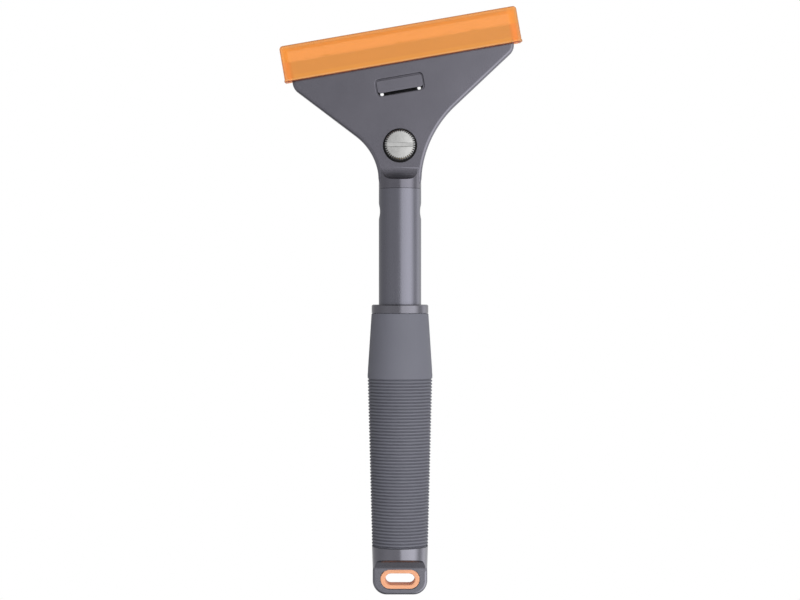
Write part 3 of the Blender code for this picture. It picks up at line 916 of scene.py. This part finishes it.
def makeTube(spec):
    low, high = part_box("handle_tube")
    inner = tubeRadius - spec["wall"]
    near = [crimpHeight + spec["crimpBand"] * (step / 10 - 1) for step in range(21)]
    spaced = [low.z + (near[0] - low.z) * step / 8 for step in range(8)]
    heights = [*spaced, *near, high.z - spec["edge"]]
    edge = spec["edge"]
    profile = [(tubeRadius, z) for z in heights]
    profile += [(tubeRadius - edge / 3, high.z - edge / 3), (tubeRadius - edge, high.z), (inner, high.z)]
    profile += [(inner, z) for z in reversed(heights[:-1])]
    piece = turned("handleTube", profile, 160)
    # each crimp is one point on the side pushed in, with the wall around it following
    for side in (-1, 1):
        for radius in (tubeRadius, inner):
            target = Vector((side * radius, 0, crimpHeight))
            pick(piece, "VERT", lambda vert: (vert.co - target).length < roughly)
            bpy.ops.transform.translate(
                value=(-side * spec["crimpDepth"], 0, 0),
                use_proportional_edit=True,
                proportional_edit_falloff="SMOOTH",
                proportional_size=spec["crimpReach"],
                use_proportional_connected=True,
            )
    bpy.ops.object.mode_set(mode="OBJECT")
    return finishPiece(piece, tubeFinish, "handle", "tube", "handle_tube")


tube = makeTube(handleTube)
print("tube", len(tube.data.polygons), "faces")


# Thumb screw: knurled head with a slot, plain shank and the hole for the pad's stem
thumbScrew = {
    "headRadius": 0.00675,
    "headBack": -0.0039,
    "faceRadius": 0.0061,
    "faceCrown": 0.00015,
    "chamfer": 0.0008,
    "teeth": 40,
    "toothDepth": 0.00105,
    # (share of the pitch, share of the depth): crest, flank, valley, flank
    "toothShape": ((0.0, 0.0), (0.42, 0.0), (0.56, 1.0), (0.86, 1.0)),
    "valleyStart": 0.45,
    "slotWidth": 0.0017,
    "slotDepth": 0.0005,
    "slotEdges": ((-1, 0.00018), (1, 0.00005)),
    "shankRadius": 0.0027,
    "stemHoleRadius": 0.0012,
    "stemHoleDepth": 0.0020,
}


def knurlOutline(spec):
    outline = []
    for tooth in range(spec["teeth"]):
        for part, cut in spec["toothShape"]:
            angle = (tooth + part) / spec["teeth"] * fullTurn
            reach = spec["headRadius"] - spec["toothDepth"] * cut
            outline.append((reach * math.cos(angle), reach * math.sin(angle)))
    return outline


def makeThumbScrew(spec):
    low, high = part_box("thumb_screw")
    radius = spec["headRadius"]
    face, back, tip = low.y, spec["headBack"], high.y
    chamfer = spec["chamfer"]
    shares = [step / 8 for step in range(9)]
    crown = [(spec["faceRadius"] * share, face + spec["faceCrown"] * share**2) for share in shares]
    rim = face + spec["faceCrown"]
    piece = slab("thumbScrew", knurlOutline(spec), face - 0.0002, back)
    past = 0.0001
    envelope = turned("screwEnvelope", [
        *crown,
        (radius + past, rim + chamfer),
        (radius + past, back - chamfer),
        (spec["faceRadius"], back + past),
        (0, back + past),
    ], 180, "Y")
    carve(piece, envelope, "INTERSECT")
    shank = turned("screwShank", [
        (0, back - 0.0010),
        (spec["shankRadius"] + 0.0004, back - 0.0010),
        (spec["shankRadius"] + 0.0004, back + 0.0002),
        (spec["shankRadius"], back + 0.0006),
        (spec["shankRadius"], tip - 0.0004),
        (spec["shankRadius"] - 0.0004, tip),
        (spec["stemHoleRadius"], tip),
        (spec["stemHoleRadius"], tip - spec["stemHoleDepth"]),
        (0, tip - spec["stemHoleDepth"]),
    ], 64, "Y")
    carve(piece, shank, "UNION")
    # the slot, with its mouth broken wider below than above
    half = spec["slotWidth"] / 2
    depth = face + spec["slotDepth"]
    mouth = []
    for side, broken in spec["slotEdges"]:
        mouth.append((face - clear, side * (half + broken + clear)))
        mouth.append((face + broken + 0.00005, side * half))
    slotProfile = [mouth[0], mouth[1], (depth, -half), (depth, half), mouth[3], mouth[2]]
    carve(piece, slab("screwSlot", slotProfile, -0.009, 0.009, "X"))
    closeUp(piece)
    addFinishes(piece, steelFinish, knurlFinish, paintedShadeFinish)

    def onKnurl(vert):
        return math.hypot(vert.x, vert.z) > spec["faceRadius"] - closely or vert.y > rim + closely

    def onSide(face):
        place = face.calc_center_median()
        outside = all(onKnurl(corner.co) for corner in face.verts)
        return outside and math.hypot(place.x, place.z) > radius - spec["toothDepth"] - roughly

    # the knurl's valleys get the black finish, as painted shade between the teeth
    def inValley(face):
        place = face.calc_center_median()
        turn = math.atan2(place.z, place.x) / fullTurn * spec["teeth"]
        return onSide(face) and turn % 1 > spec["valleyStart"]

    assignFinish(piece, onSide, 1)
    assignFinish(piece, inValley, 2)
    move(piece, Matrix.Translation(screwAxis))
    return finishPiece(piece, None, "thumb_screw", "thumb_screw", "thumb_screw")


screw = makeThumbScrew(thumbScrew)
print("thumb screw", len(screw.data.polygons), "faces")


# Bush, pad and blade pins, each turned
threadedBush = {
    "flange": 0.0062,
    "flangeThickness": 0.0007,
    "flangeEdge": 0.00015,
    "radius": 0.0050,
    "backChamfer": 0.0003,
    "bore": 0.0030,
    "boreChamfer": 0.0002,
    "threads": 6,
    "threadDepth": 0.00018,
}
screwPad = {"flange": 0.0012, "stem": 0.0009, "edge": 0.0002, "softEdge": 0.0004}
bladePin = {"edge": 0.0002, "softEdge": 0.0004}


def makeBush(spec):
    low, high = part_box("threaded_bush")
    edge, inEdge, outEdge = spec["flangeEdge"], spec["boreChamfer"], spec["backChamfer"]
    flange, radius, bore = spec["flange"], spec["radius"], spec["bore"]
    flangeBack = low.y + spec["flangeThickness"]
    profile = [
        (bore + inEdge, low.y),
        (flange - edge, low.y),
        (flange, low.y + edge),
        (flange, flangeBack),
        (radius, flangeBack),
        (radius, high.y - outEdge),
        (radius - outEdge, high.y),
        (bore + inEdge, high.y),
        (bore, high.y - inEdge),
    ]
    # shallow thread lines in the bore
    steps = spec["threads"] * 2
    for step in range(steps):
        share = (step + 0.5) / steps
        depth = high.y - inEdge - (high.y - low.y - 2 * inEdge) * share
        profile.append((bore + (spec["threadDepth"] if step % 2 else 0.0), depth))
    profile.append((bore, low.y + inEdge))
    piece = turned("threadedBush", profile, 72, "Y")
    move(piece, Matrix.Translation(screwAxis))
    return finishPiece(piece, brassFinish, "handle", "bush", "threaded_bush")


def makePad(spec):
    low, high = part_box("screw_pad")
    radius = (high.x - low.x) / 2
    front = high.y - spec["flange"]
    stem, edge = spec["stem"], spec["edge"]
    piece = turned("screwPad", [
        (0, low.y),
        (stem - edge, low.y),
        (stem, low.y + edge),
        (stem, front - edge),
        (stem + edge, front),
        (radius - edge, front),
        (radius, front + edge),
        (radius, high.y - spec["softEdge"] * 0.75),
        (radius - spec["softEdge"] * 0.25, high.y - spec["softEdge"] * 0.25),
        (radius - spec["softEdge"], high.y),
        (0, high.y),
    ], 64, "Y")
    move(piece, Matrix.Translation(screwAxis))
    return finishPiece(piece, brassFinish, "screw_pad", "bush", "screw_pad")


def makePins(spec):
    # one pin is turned and the other two are copies of it
    low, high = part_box("blade_pin_middle")
    middle = middleOf("blade_pin_middle")
    radius = (high.x - low.x) / 2
    edge, softEdge = spec["edge"], spec["softEdge"]
    first = turned("bladePinMiddle", [
        (0, low.y),
        (radius - edge, low.y),
        (radius, low.y + edge),
        (radius, high.y - softEdge),
        (radius - softEdge / 4, high.y - softEdge * 0.375),
        (radius - softEdge, high.y),
        (0, high.y),
    ], 40, "Y")
    move(first, Matrix.Translation((middle.x, 0, middle.z)))
    for side in ("left", "right"):
        copy = first.copy()
        copy.data = first.data.copy()
        copy.name = copy.data.name = "bladePin" + side.capitalize()
        bpy.context.scene.collection.objects.link(copy)
        away = middleOf("blade_pin_" + side) - middle
        move(copy, Matrix.Translation((away.x, 0, away.z)))
        finishPiece(copy, steelFinish, "handle", "pins", "blade_pin_" + side)
    return finishPiece(first, steelFinish, "handle", "pins", "blade_pin_middle")


makeBush(threadedBush)
makePad(screwPad)
makePins(bladePin)
print("bush, pad and pins ready")


# Blade: ground on both sides, with three open notches that drop over the pins
blade = {
    "width": 0.1010,
    "height": 0.0150,
    "thickness": 0.0008,
    "edge": 0.0065,
    "bevel": 0.0020,
    "microBevel": 0.0003,
    "notchRadius": 0.0018,
}


def makeBlade(spec):
    half = spec["thickness"] / 2
    bottom = spec["edge"] - spec["height"]
    fine = 0.00003
    # one side of the section from its foot to its edge, then the same mirrored
    side = [
        (half - 0.0001, bottom),
        (half, bottom + 0.0001),
        (half, spec["edge"] - spec["bevel"]),
        (fine * 3, spec["edge"] - spec["microBevel"]),
        (fine, spec["edge"]),
    ]
    section = [(-half + 0.0001, bottom), *side, *((-out, height) for out, height in side[:0:-1])]
    piece = slab("scraperBlade", section, -spec["width"] / 2, spec["width"] / 2, "X")
    radius = spec["notchRadius"]
    for place in ("left", "middle", "right"):
        pinMiddle = middleOf("blade_pin_" + place)
        u, v = toBlade(pinMiddle.x, pinMiddle.z)
        outline = [(u - radius, bottom - clear), (u + radius, bottom - clear)]
        outline += arcPoints((u, v), (radius, radius), 0, 180, 20)
        carve(piece, slab("bladeNotch", outline, -clear, clear))
    closeUp(piece)
    move(piece, bladeFrame)
    return finishPiece(piece, ceramicFinish, "blade", "blade", "blade")


makeBlade(blade)
print("blade ready")


# Clamp plate, cut and bent from sheet, with a tongue that hooks through the window
clampPlate = {
    "thickness": 0.0018,
    "top": 0.0012,
    "halfWidth": 0.0495,
    "inset": 0.0045,
    "tailBottom": 0.1354,
    "tailHalfWidth": 0.0060,
    "tongueTop": -0.0139,
    "tongueBottom": -0.0195,
    "tongueHalfWidth": 0.0103,
    "tongueCorner": 0.0012,
    "tailCorner": 0.0040,
    "leftHollow": 0.0050,
    "rightHollow": 0.0100,
    "sideCorner": 0.0030,
    "topCorner": 0.0010,
    "legHalfWidth": 0.0077,
    "lancingHalfWidth": 0.0106,
    "lancingTop": -0.0119,
    "reliefRadius": 0.0008,
    "edge": 0.00022,
    # the hook's own edges lie inside this half width and between these heights
    "hookHalfWidth": 0.0110,
    "hookHeights": (-0.0215, -0.0110),
}


def plateOutline(spec):
    head = headCasting
    left = fromBlade(-head["halfWidth"], head["leftCorner"])
    right = fromBlade(head["halfWidth"], head["rightCorner"])
    tail = spec["tailHalfWidth"]
    liftLeft = spec["inset"] / math.sin(head["leftSlope"])
    liftRight = spec["inset"] / math.sin(head["rightSlope"])
    lowLeft = left[1] - (abs(left[0]) - tail) / math.tan(head["leftSlope"]) + liftLeft
    lowRight = right[1] - (abs(right[0]) - tail) / math.tan(head["rightSlope"]) + liftRight
    sideLeft = toBlade(left[0], left[1] + liftLeft)[1]
    sideRight = toBlade(right[0], right[1] + liftRight)[1]
    half = spec["halfWidth"]
    return rounded([
        (toBlade(-tail, spec["tailBottom"]), spec["tailCorner"], 12),
        (toBlade(tail, spec["tailBottom"]), spec["tailCorner"], 12),
        (toBlade(tail, lowRight), spec["rightHollow"], 16),
        ((half, sideRight), spec["sideCorner"], 10),
        ((half, spec["top"]), spec["topCorner"], 6),
        ((-half, spec["top"]), spec["topCorner"], 6),
        ((-half, sideLeft), spec["sideCorner"], 10),
        (toBlade(-tail, lowLeft), spec["leftHollow"], 12),
    ])


def makeClampPlate(spec):
    # modelled parallel to the head about the rocking axis, then turned to its clamped angle
    rock = jointNamed("clamp_rock")
    pivot = Vector(rock["pos_m"])
    clamped = math.radians(rock["range_deg"][1])
    for coupling in frame["record"]["behaviour"]["couplings"]:
        if coupling["joint"] == "clamp_rock":
            clamped = coupling["ratio"] * jointNamed(coupling["follows"])["range_m"][1]
    pivotU, pivotV = toBlade(pivot.x, pivot.z)
    front = blade["thickness"] / 2 + headCasting["seam"] + (spec["top"] - pivotV) * clamped
    wall = spec["thickness"] - 0.0002
    tongueFront = headCasting["ledgeFront"] - headCasting["seam"] - wall
    centre = headCasting["windowCentre"][0]
    bottom, top = spec["tongueBottom"], spec["tongueTop"]
    piece = slab("clampPlate", plateOutline(spec), front, front + spec["thickness"])

    def box(name, left, right, low, high, near, far):
        return slab(name, [(left, low), (right, low), (right, high), (left, high)], near, far)

    lancing = spec["lancingHalfWidth"]
    carve(piece, box("lancing", centre - lancing, centre + lancing, bottom + wall, spec["lancingTop"],
                     front - clear, front + 3 * clear))
    leg = spec["legHalfWidth"]
    carve(piece, box("tongueLeg", centre - leg, centre + leg, bottom, bottom + wall,
                     tongueFront + wall / 2, front + spec["thickness"] / 2), "UNION")
    tip = rectangle(2 * spec["tongueHalfWidth"], top - bottom, (centre, (top + bottom) / 2),
                    spec["tongueCorner"])
    carve(piece, slab("tongueTip", tip, tongueFront, tongueFront + wall), "UNION")
    for side in (-1, 1):
        hole = turned("reliefHole", [
            (0, front - clear),
            (spec["reliefRadius"], front - clear),
            (spec["reliefRadius"], front + 3 * clear),
            (0, front + 3 * clear),
        ], 24, "Y")
        place = (centre + side * (leg + spec["reliefRadius"]), 0, bottom - 0.0002)
        carve(piece, move(hole, Matrix.Translation(place)))
    closeUp(piece)

    def onOutside(edge):
        faces = (front, front + spec["thickness"], tongueFront, tongueFront + wall)
        ends = endsOf(edge)
        flat = any(all(abs(end.y - face) < closely for end in ends) for face in faces)
        low, high = spec["hookHeights"]
        hooked = all(abs(end.x - centre) < spec["hookHalfWidth"] and low < end.z < high for end in ends)
        onTip = all(end.y < tongueFront + closely for end in ends)
        return flat and isSharp(edge, 60) and (onTip or not hooked)

    roundEdges(piece, onOutside, spec["edge"], 3)
    # the leg and the inner face are painted black, as painted shade in the gap behind the tongue
    addFinishes(piece, castingFinish, paintedShadeFinish)

    def inShadeFaces(face):
        place = face.calc_center_median()
        between = tongueFront + wall - closely < place.y < front + 8 * roughly
        onLeg = abs(place.x - centre) < leg + 4 * roughly and place.z < bottom + wall + 4 * roughly
        return (between and onLeg) or all(abs(corner.co.y - front) < closely for corner in face.verts)

    assignFinish(piece, inShadeFaces, 1)
    move(piece, Matrix.Translation((-pivotU, -pivot.y, -pivotV)))
    rocked = Matrix.Translation((pivotU, pivot.y, pivotV)) @ Matrix.Rotation(clamped, 4, "X")
    move(piece, bladeFrame @ rocked)
    return finishPiece(piece, None, "clamp_plate", "clamp_plate", "clamp_plate")


plate = makeClampPlate(clampPlate)
print("clamp plate", len(plate.data.polygons), "faces")


# Blade guard: a thin channel, open below, with a rolled lip along its mouth
bladeGuard = {
    "length": 0.1075,
    "height": 0.0164,
    "front": -0.0061,
    "back": 0.0050,
    "wall": 0.0013,
    "cornerRound": 0.0016,
    "outerRound": 0.0009,
    "innerRound": 0.0005,
    "lipHeight": 0.0010,
    "lipProud": 0.00025,
    "lipRound": 0.0002,
    "backRise": 0.0007,
}


def makeGuard(spec):
    depth = spec["back"] - spec["front"]
    middle = (spec["front"] + spec["back"]) / 2
    piece = cube("bladeGuard", (0, middle, 0), (spec["length"], depth, spec["height"]))
    mouth = -spec["height"] / 2

    def onTopCorner(edge):
        one, other = endsOf(edge)
        return one.z > 0 and other.z > 0 and abs(one.y - other.y) > depth / 2

    def onRim(edge):
        one, other = endsOf(edge)
        return abs(one.y - other.y) < exactly and max(one.z, other.z) > mouth + clear and isSharp(edge, 60)

    roundEdges(piece, onTopCorner, spec["cornerRound"], 6)
    roundEdges(piece, onRim, spec["outerRound"], 5)
    # the lip: the band next to the mouth is cut off, then grown outwards
    editAll(piece)
    bpy.ops.mesh.bisect(plane_co=(0, 0, mouth + spec["lipHeight"]), plane_no=(0, 0, 1))

    def onLip(face):
        return abs(face.normal.z) < 0.01 and face.calc_center_median().z < mouth + spec["lipHeight"] * 0.9

    pick(piece, "FACE", onLip)
    bpy.ops.mesh.extrude_region_shrink_fatten(TRANSFORM_OT_shrink_fatten={"value": spec["lipProud"]})
    bpy.ops.object.mode_set(mode="OBJECT")
    closeUp(piece)
    wall = spec["wall"]
    innerTop = spec["height"] / 2 - wall
    low = mouth - 2 * clear
    hollow = cube("guardHollow", (0, middle, (innerTop + low) / 2),
                  (spec["length"] - 2 * wall, depth - 2 * wall, innerTop - low))
    roundEdges(hollow, lambda edge: max(vert.co.z for vert in edge.verts) > 0, spec["innerRound"], 4)
    carve(piece, hollow)
    closeUp(piece)

    def onMouth(edge):
        outer = spec["length"] / 2 + spec["lipProud"] / 2
        ends = endsOf(edge)
        atMouth = all(end.z < mouth + spec["lipHeight"] + nearly for end in ends)
        level = abs(ends[0].z - ends[1].z) < exactly
        outside = all(abs(end.x) > outer or abs(end.y - middle) > depth / 2 + 2 * roughly for end in ends)
        return atMouth and level and outside and isSharp(edge, 60)

    roundEdges(piece, onMouth, spec["lipRound"], 3)
    # the back wall ends a little higher than the front one
    pick(piece, "VERT", lambda vert: vert.co.y > middle and vert.co.z < mouth + spec["lipHeight"] + roughly)
    bpy.ops.transform.translate(value=(0, 0, spec["backRise"]))
    bpy.ops.object.mode_set(mode="OBJECT")
    move(piece, bladeFrame @ Matrix.Translation(guardShift))
    return finishPiece(piece, guardFinish, "blade_guard", "guard", "blade_guard")


guard = makeGuard(bladeGuard)
# light reaches what the clear guard covers
guard.visible_shadow = False
guard.visible_diffuse = False
print("guard", len(guard.data.polygons), "faces")


# Grip: hard core with its collar and hanging tab
gripCore = {
    "bore": 0.009825,
    "collarEdge": 0.0008,
    "collarSeat": 0.0677,
    "topStep": 0.0120,
    "bottomStep": 0.0116,
    "innerRadius": 0.0110,
    "endTop": -0.0370,
    "endTopRadius": 0.0126,
    "endRadius": 0.01225,
    "bottomCorner": 0.0063,
    "tabHalfThickness": 0.0045,
    "tabTop": -0.0464,
    "tabBottom": -0.0584,
    "scoopTop": -0.0418,
    # (distance from the middle plane, drop below the scoop's top): a near level ledge, then a soft slope
    "scoop": (
        (0.0086, -0.0007), (0.0076, -0.0010), (0.0069, -0.0014), (0.0064, -0.0019), (0.0059, -0.0025),
        (0.00545, -0.0032), (0.00505, -0.0039), (0.00477, -0.0045), (0.00460, -0.0051), (0.0045, -0.0058),
    ),
    "tabRim": 0.0012,
    "tabShoulder": 0.0040,
    "tabTaper": 0.0022,
    "seatStep": 0.0034,
    "snugSeam": 0.00006,
    "seam": 0.0003,
}
hangRing = {
    "size": (0.01755, 0.00865),
    "hole": (0.0132, 0.0051),
    "outerRound": 0.00035,
    "holeRound": 0.0005,
}


def obround(width, height, steps):
    radius = height / 2
    reach = width / 2 - radius
    return (arcPoints((reach, 0), (radius, radius), -90, 90, steps)
            + arcPoints((-reach, 0), (radius, radius), 90, 270, steps))


def makeCore(spec):
    low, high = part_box("grip_core")
    radius = (high.x - low.x) / 2
    edge = spec["collarEdge"]
    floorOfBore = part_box("handle_tube")[0].z - spec["seam"]
    seat, end = spec["collarSeat"], spec["endTop"]
    half = spec["tabHalfThickness"]
    profile = [
        (0, floorOfBore),
        (spec["bore"], floorOfBore),
        (spec["bore"], high.z - 0.0002),
        (spec["bore"] + 0.0002, high.z),
        *arcPoints((radius - edge, high.z - edge), (edge, edge), 90, 0, 6),
        (radius, seat + 0.0001),
        (radius - 0.0001, seat),
        (spec["topStep"], seat),
        (spec["topStep"], seat - 0.0006),
        (spec["innerRadius"], seat - 0.0006),
        (spec["innerRadius"], end + 0.0006),
        (spec["bottomStep"], end + 0.0006),
        (spec["bottomStep"], end),
        (spec["endTopRadius"] - 0.0001, end),
        (spec["endTopRadius"], end - 0.0001),
        (spec["endRadius"], spec["tabTop"] - 0.0016),
        (0, spec["tabTop"] - 0.0016),
    ]
    piece = turned("gripCore", profile, 144)
    reach = spec["endTopRadius"] + 0.0002
    for side, name in ((-1, "tabScoopFront"), (1, "tabScoopBack")):
        curve = [(side * reach, spec["scoopTop"])]
        curve += [(side * out, spec["scoopTop"] + drop) for out, drop in spec["scoop"]]
        bottom = spec["tabTop"] - 0.004
        outer = side * (reach + 0.002)
        outline = [*curve, (side * half, bottom), (outer, bottom), (outer, spec["scoopTop"])]
        carve(piece, slab(name, outline, -0.015, 0.015, "X"))

    # the tab: a flat plate with rounded rims and the seat of its ring
    width, bottom = spec["endRadius"], spec["tabBottom"]
    narrow = width - spec["tabTaper"]
    shoulder, top = spec["tabTop"] - 0.0008, spec["scoopTop"] + 0.0006
    tab = slab("gripTab", rounded([
        ((-width, bottom), spec["bottomCorner"], 18),
        ((width, bottom), spec["bottomCorner"], 18),
        ((width, shoulder), spec["tabShoulder"], 6),
        ((narrow, top), 0, 0),
        ((-narrow, top), 0, 0),
        ((-width, shoulder), spec["tabShoulder"], 6),
    ]), -half, half)

    def onTabRim(edge):
        ends = endsOf(edge)
        onFace = abs(abs(ends[0].y) - half) < closely and abs(ends[0].y - ends[1].y) < closely
        atTop = all(end.z > spec["scoopTop"] + 0.0005 for end in ends)
        return onFace and not atTop and isSharp(edge, 60)

    roundEdges(tab, onTabRim, spec["tabRim"], 6)
    ringWidth, ringHeight = hangRing["size"]
    ringPlace = Matrix.Translation((0, 0, middleOf("hang_ring").z))
    # the seat is snug in its middle and a little wider at both faces
    past, step = half + 5 * clear, spec["seatStep"]
    for name, gap, low, high in (
        ("ringSeat", spec["snugSeam"], -past, past),
        ("seatFront", spec["seam"], -past, -step),
        ("seatBack", spec["seam"], step, past),
    ):
        seatOutline = obround(ringWidth + 2 * gap, ringHeight + 2 * gap, 24)
        carve(tab, move(slab(name, seatOutline, low, high), ringPlace))
    carve(piece, tab, "UNION")
    closeUp(piece)
    return finishPiece(piece, coreFinish, "handle", "core", "grip_core")


core = makeCore(gripCore)
print("grip core", len(core.data.polygons), "faces")


# Ring pressed into the tab
def makeRing(spec):
    low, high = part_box("hang_ring")
    piece = slab("hangRing", obround(*spec["size"], 28), low.y, high.y)
    carve(piece, slab("ringHole", obround(*spec["hole"], 28), low.y - clear, high.y + clear))
    closeUp(piece)
    radius = (spec["size"][1] + spec["hole"][1]) / 4
    reach = (spec["size"][0] + spec["hole"][0]) / 4 - radius

    def fromSpine(point):
        return math.hypot(max(abs(point.x) - reach, 0), point.z)

    def onRim(edge, inside):
        ends = endsOf(edge)
        if not all(abs(abs(end.y) - high.y) < closely for end in ends) or not isSharp(edge, 60):
            return False
        return all((fromSpine(end) < radius) == inside for end in ends)

    roundEdges(piece, lambda edge: onRim(edge, False), spec["outerRound"], 4)
    roundEdges(piece, lambda edge: onRim(edge, True), spec["holeRound"], 5)
    move(piece, Matrix.Translation((0, 0, (low.z + high.z) / 2)))
    return finishPiece(piece, ringFinish, "handle", "ring", "hang_ring")


ring = makeRing(hangRing)
print("ring", len(ring.data.polygons), "faces")


# Rubber sleeve: plain cone above, fine ribs below
def makeSleeve(spec):
    low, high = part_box("grip_sleeve")

    def radiusAt(z):
        if z > spec["bellyHeight"]:
            share = (z - spec["bellyHeight"]) / (high.z - spec["bellyHeight"])
            return spec["bellyRadius"] + (spec["topRadius"] - spec["bellyRadius"]) * share
        share = (z - low.z) / (spec["bellyHeight"] - low.z)
        return spec["bottomRadius"] + (spec["bellyRadius"] - spec["bottomRadius"]) * share

    edge = spec["edge"]
    rebate = spec["rebateDepth"]
    profile = [
        (spec["inner"], low.z + rebate),
        (spec["bottomRebate"], low.z + rebate),
        (spec["bottomRebate"], low.z),
        (radiusAt(low.z) - edge, low.z),
        (radiusAt(low.z), low.z + edge),
    ]
    for index in range(spec["grooves"] - 1, -1, -1):
        middle = spec["firstGroove"] - index * spec["pitch"]
        for share, cut in spec["grooveShape"]:
            z = middle + share * spec["pitch"]
            if z > low.z + edge * 1.5:
                profile.append((radiusAt(z) - spec["depth"] * cut, z))
    lastEdge = spec["firstGroove"] + spec["pitch"] / 2
    profile.append((radiusAt(lastEdge), lastEdge))
    # the belly turns over softly
    for share in (-1.0, -0.5, 0.0, 0.5, 1.0):
        z = spec["bellyHeight"] + spec["bellyTurn"] * (share + 1.0)
        profile.append((radiusAt(z) - spec["bellySoftness"] * (1 - share * share), z))
    for step in range(1, 9):
        z = spec["coneStart"] + (high.z - edge - spec["coneStart"]) * step / 8
        profile.append((radiusAt(z), z))
    profile += [
        (radiusAt(high.z) - edge, high.z),
        (spec["topRebate"], high.z),
        (spec["topRebate"], high.z - rebate),
        (spec["inner"], high.z - rebate),
    ]
    piece = turned("gripSleeve", profile, 112)
    return finishPiece(piece, rubberFinish, "handle", "sleeve", "grip_sleeve")


sleeve = makeSleeve(gripSleeve)
print("sleeve", len(sleeve.data.polygons), "faces")


# Camera, level, at the height of the handle's upper half
scene = bpy.context.scene
cameraDistance = 0.85
cameraHeight = 0.0736
bpy.ops.object.camera_add(location=(0, -cameraDistance, cameraHeight), rotation=(math.radians(90), 0, 0))
camera = bpy.context.object
camera.data.lens = 85
camera.data.sensor_width = 36
camera.data.clip_start = 0.01
camera.data.clip_end = 50
scene.camera = camera

# World: a soft studio, with one tall softbox to the right of the camera and a rim panel behind it
scene.view_settings.view_transform = "Standard"
studio = {
    "brightest": 2.5,
    # the panels fade out towards straight up and straight down
    "endOfLight": 0.35,
    "fade": (0.50, 0.85),
    # a little more light comes up from below
    "fromBelow": 1.22,
    "belowEdge": (-0.14, -0.07),
    # (azimuth, level) as mirrored in a surface and as it falls on a matt one;
    # 0 is behind the camera and + is to its right
    "mirrored": (
        (-130, 0.55), (-88, 0.58), (-50, 0.74), (-12, 0.67), (1, 0.64), (5, 1.98), (25, 2.12), (45, 2.42),
        (62, 2.48), (74, 1.70), (84, 0.85), (96, 0.85), (106, 1.50), (118, 1.75), (140, 0.95), (170, 0.70),
    ),
    "matt": ((-150, 0.40), (-25, 0.42), (-12, 1.95), (44, 1.95), (56, 0.62), (150, 0.60)),
}


def makeWorld(spec):
    world = bpy.data.worlds.new("studio")
    scene.world = world
    world.use_nodes = True
    tree = world.node_tree
    tree.nodes.clear()
    x, y, z = split(tree, addNode(tree, "ShaderNodeTexCoord").outputs["Generated"])
    azimuth = calculate(tree, "ARCTAN2", x, calculate(tree, "MULTIPLY", y, -1.0))
    share = calculate(tree, "ADD", calculate(tree, "DIVIDE", azimuth, fullTurn), 0.5)
    brightest = spec["brightest"]

    def around(levels):
        stops = [((degrees + 180) / 360, [level / brightest] * 3) for degrees, level in levels]
        return ramp(tree, share, stops)

    rays = addNode(tree, "ShaderNodeLightPath").outputs
    level = blend(tree, "FLOAT", rays["Is Diffuse Ray"], around(spec["mirrored"]), around(spec["matt"]))
    upright = ranged(tree, calculate(tree, "ABSOLUTE", z), *spec["fade"],
                     brightest, brightest * spec["endOfLight"], "SMOOTHSTEP")
    below = ranged(tree, z, *spec["belowEdge"], spec["fromBelow"], 1.0, "SMOOTHSTEP")
    for factor in (upright, below):
        level = calculate(tree, "MULTIPLY", level, factor)
    seen = blend(tree, "FLOAT", rays["Is Camera Ray"], level, 1.0)
    background = addNode(tree, "ShaderNodeBackground", Color=(1, 1, 1, 1), Strength=seen)
    addNode(tree, "ShaderNodeOutputWorld", Surface=background.outputs[0])


makeWorld(studio)

# Pale floor just below the hanging tab
floorDrop = 0.0015
floorSize = 12.0
selectNothing()
bpy.ops.mesh.primitive_plane_add(size=floorSize, location=(0, 0, cadLow.z - floorDrop))
floor = bpy.context.object
floor.name = "floor"
floorPaper = bpy.data.materials.new("floorPaper")
floorPaper.use_nodes = True
paperTree = floorPaper.node_tree
paperTree.nodes.clear()
glow = addNode(paperTree, "ShaderNodeEmission", Color=(1, 1, 1, 1))
addNode(paperTree, "ShaderNodeOutputMaterial", Surface=glow.outputs[0])
floor.data.materials.append(floorPaper)
floor.visible_diffuse = False
floor.visible_glossy = False
floor.visible_transmission = False
floor.visible_shadow = False
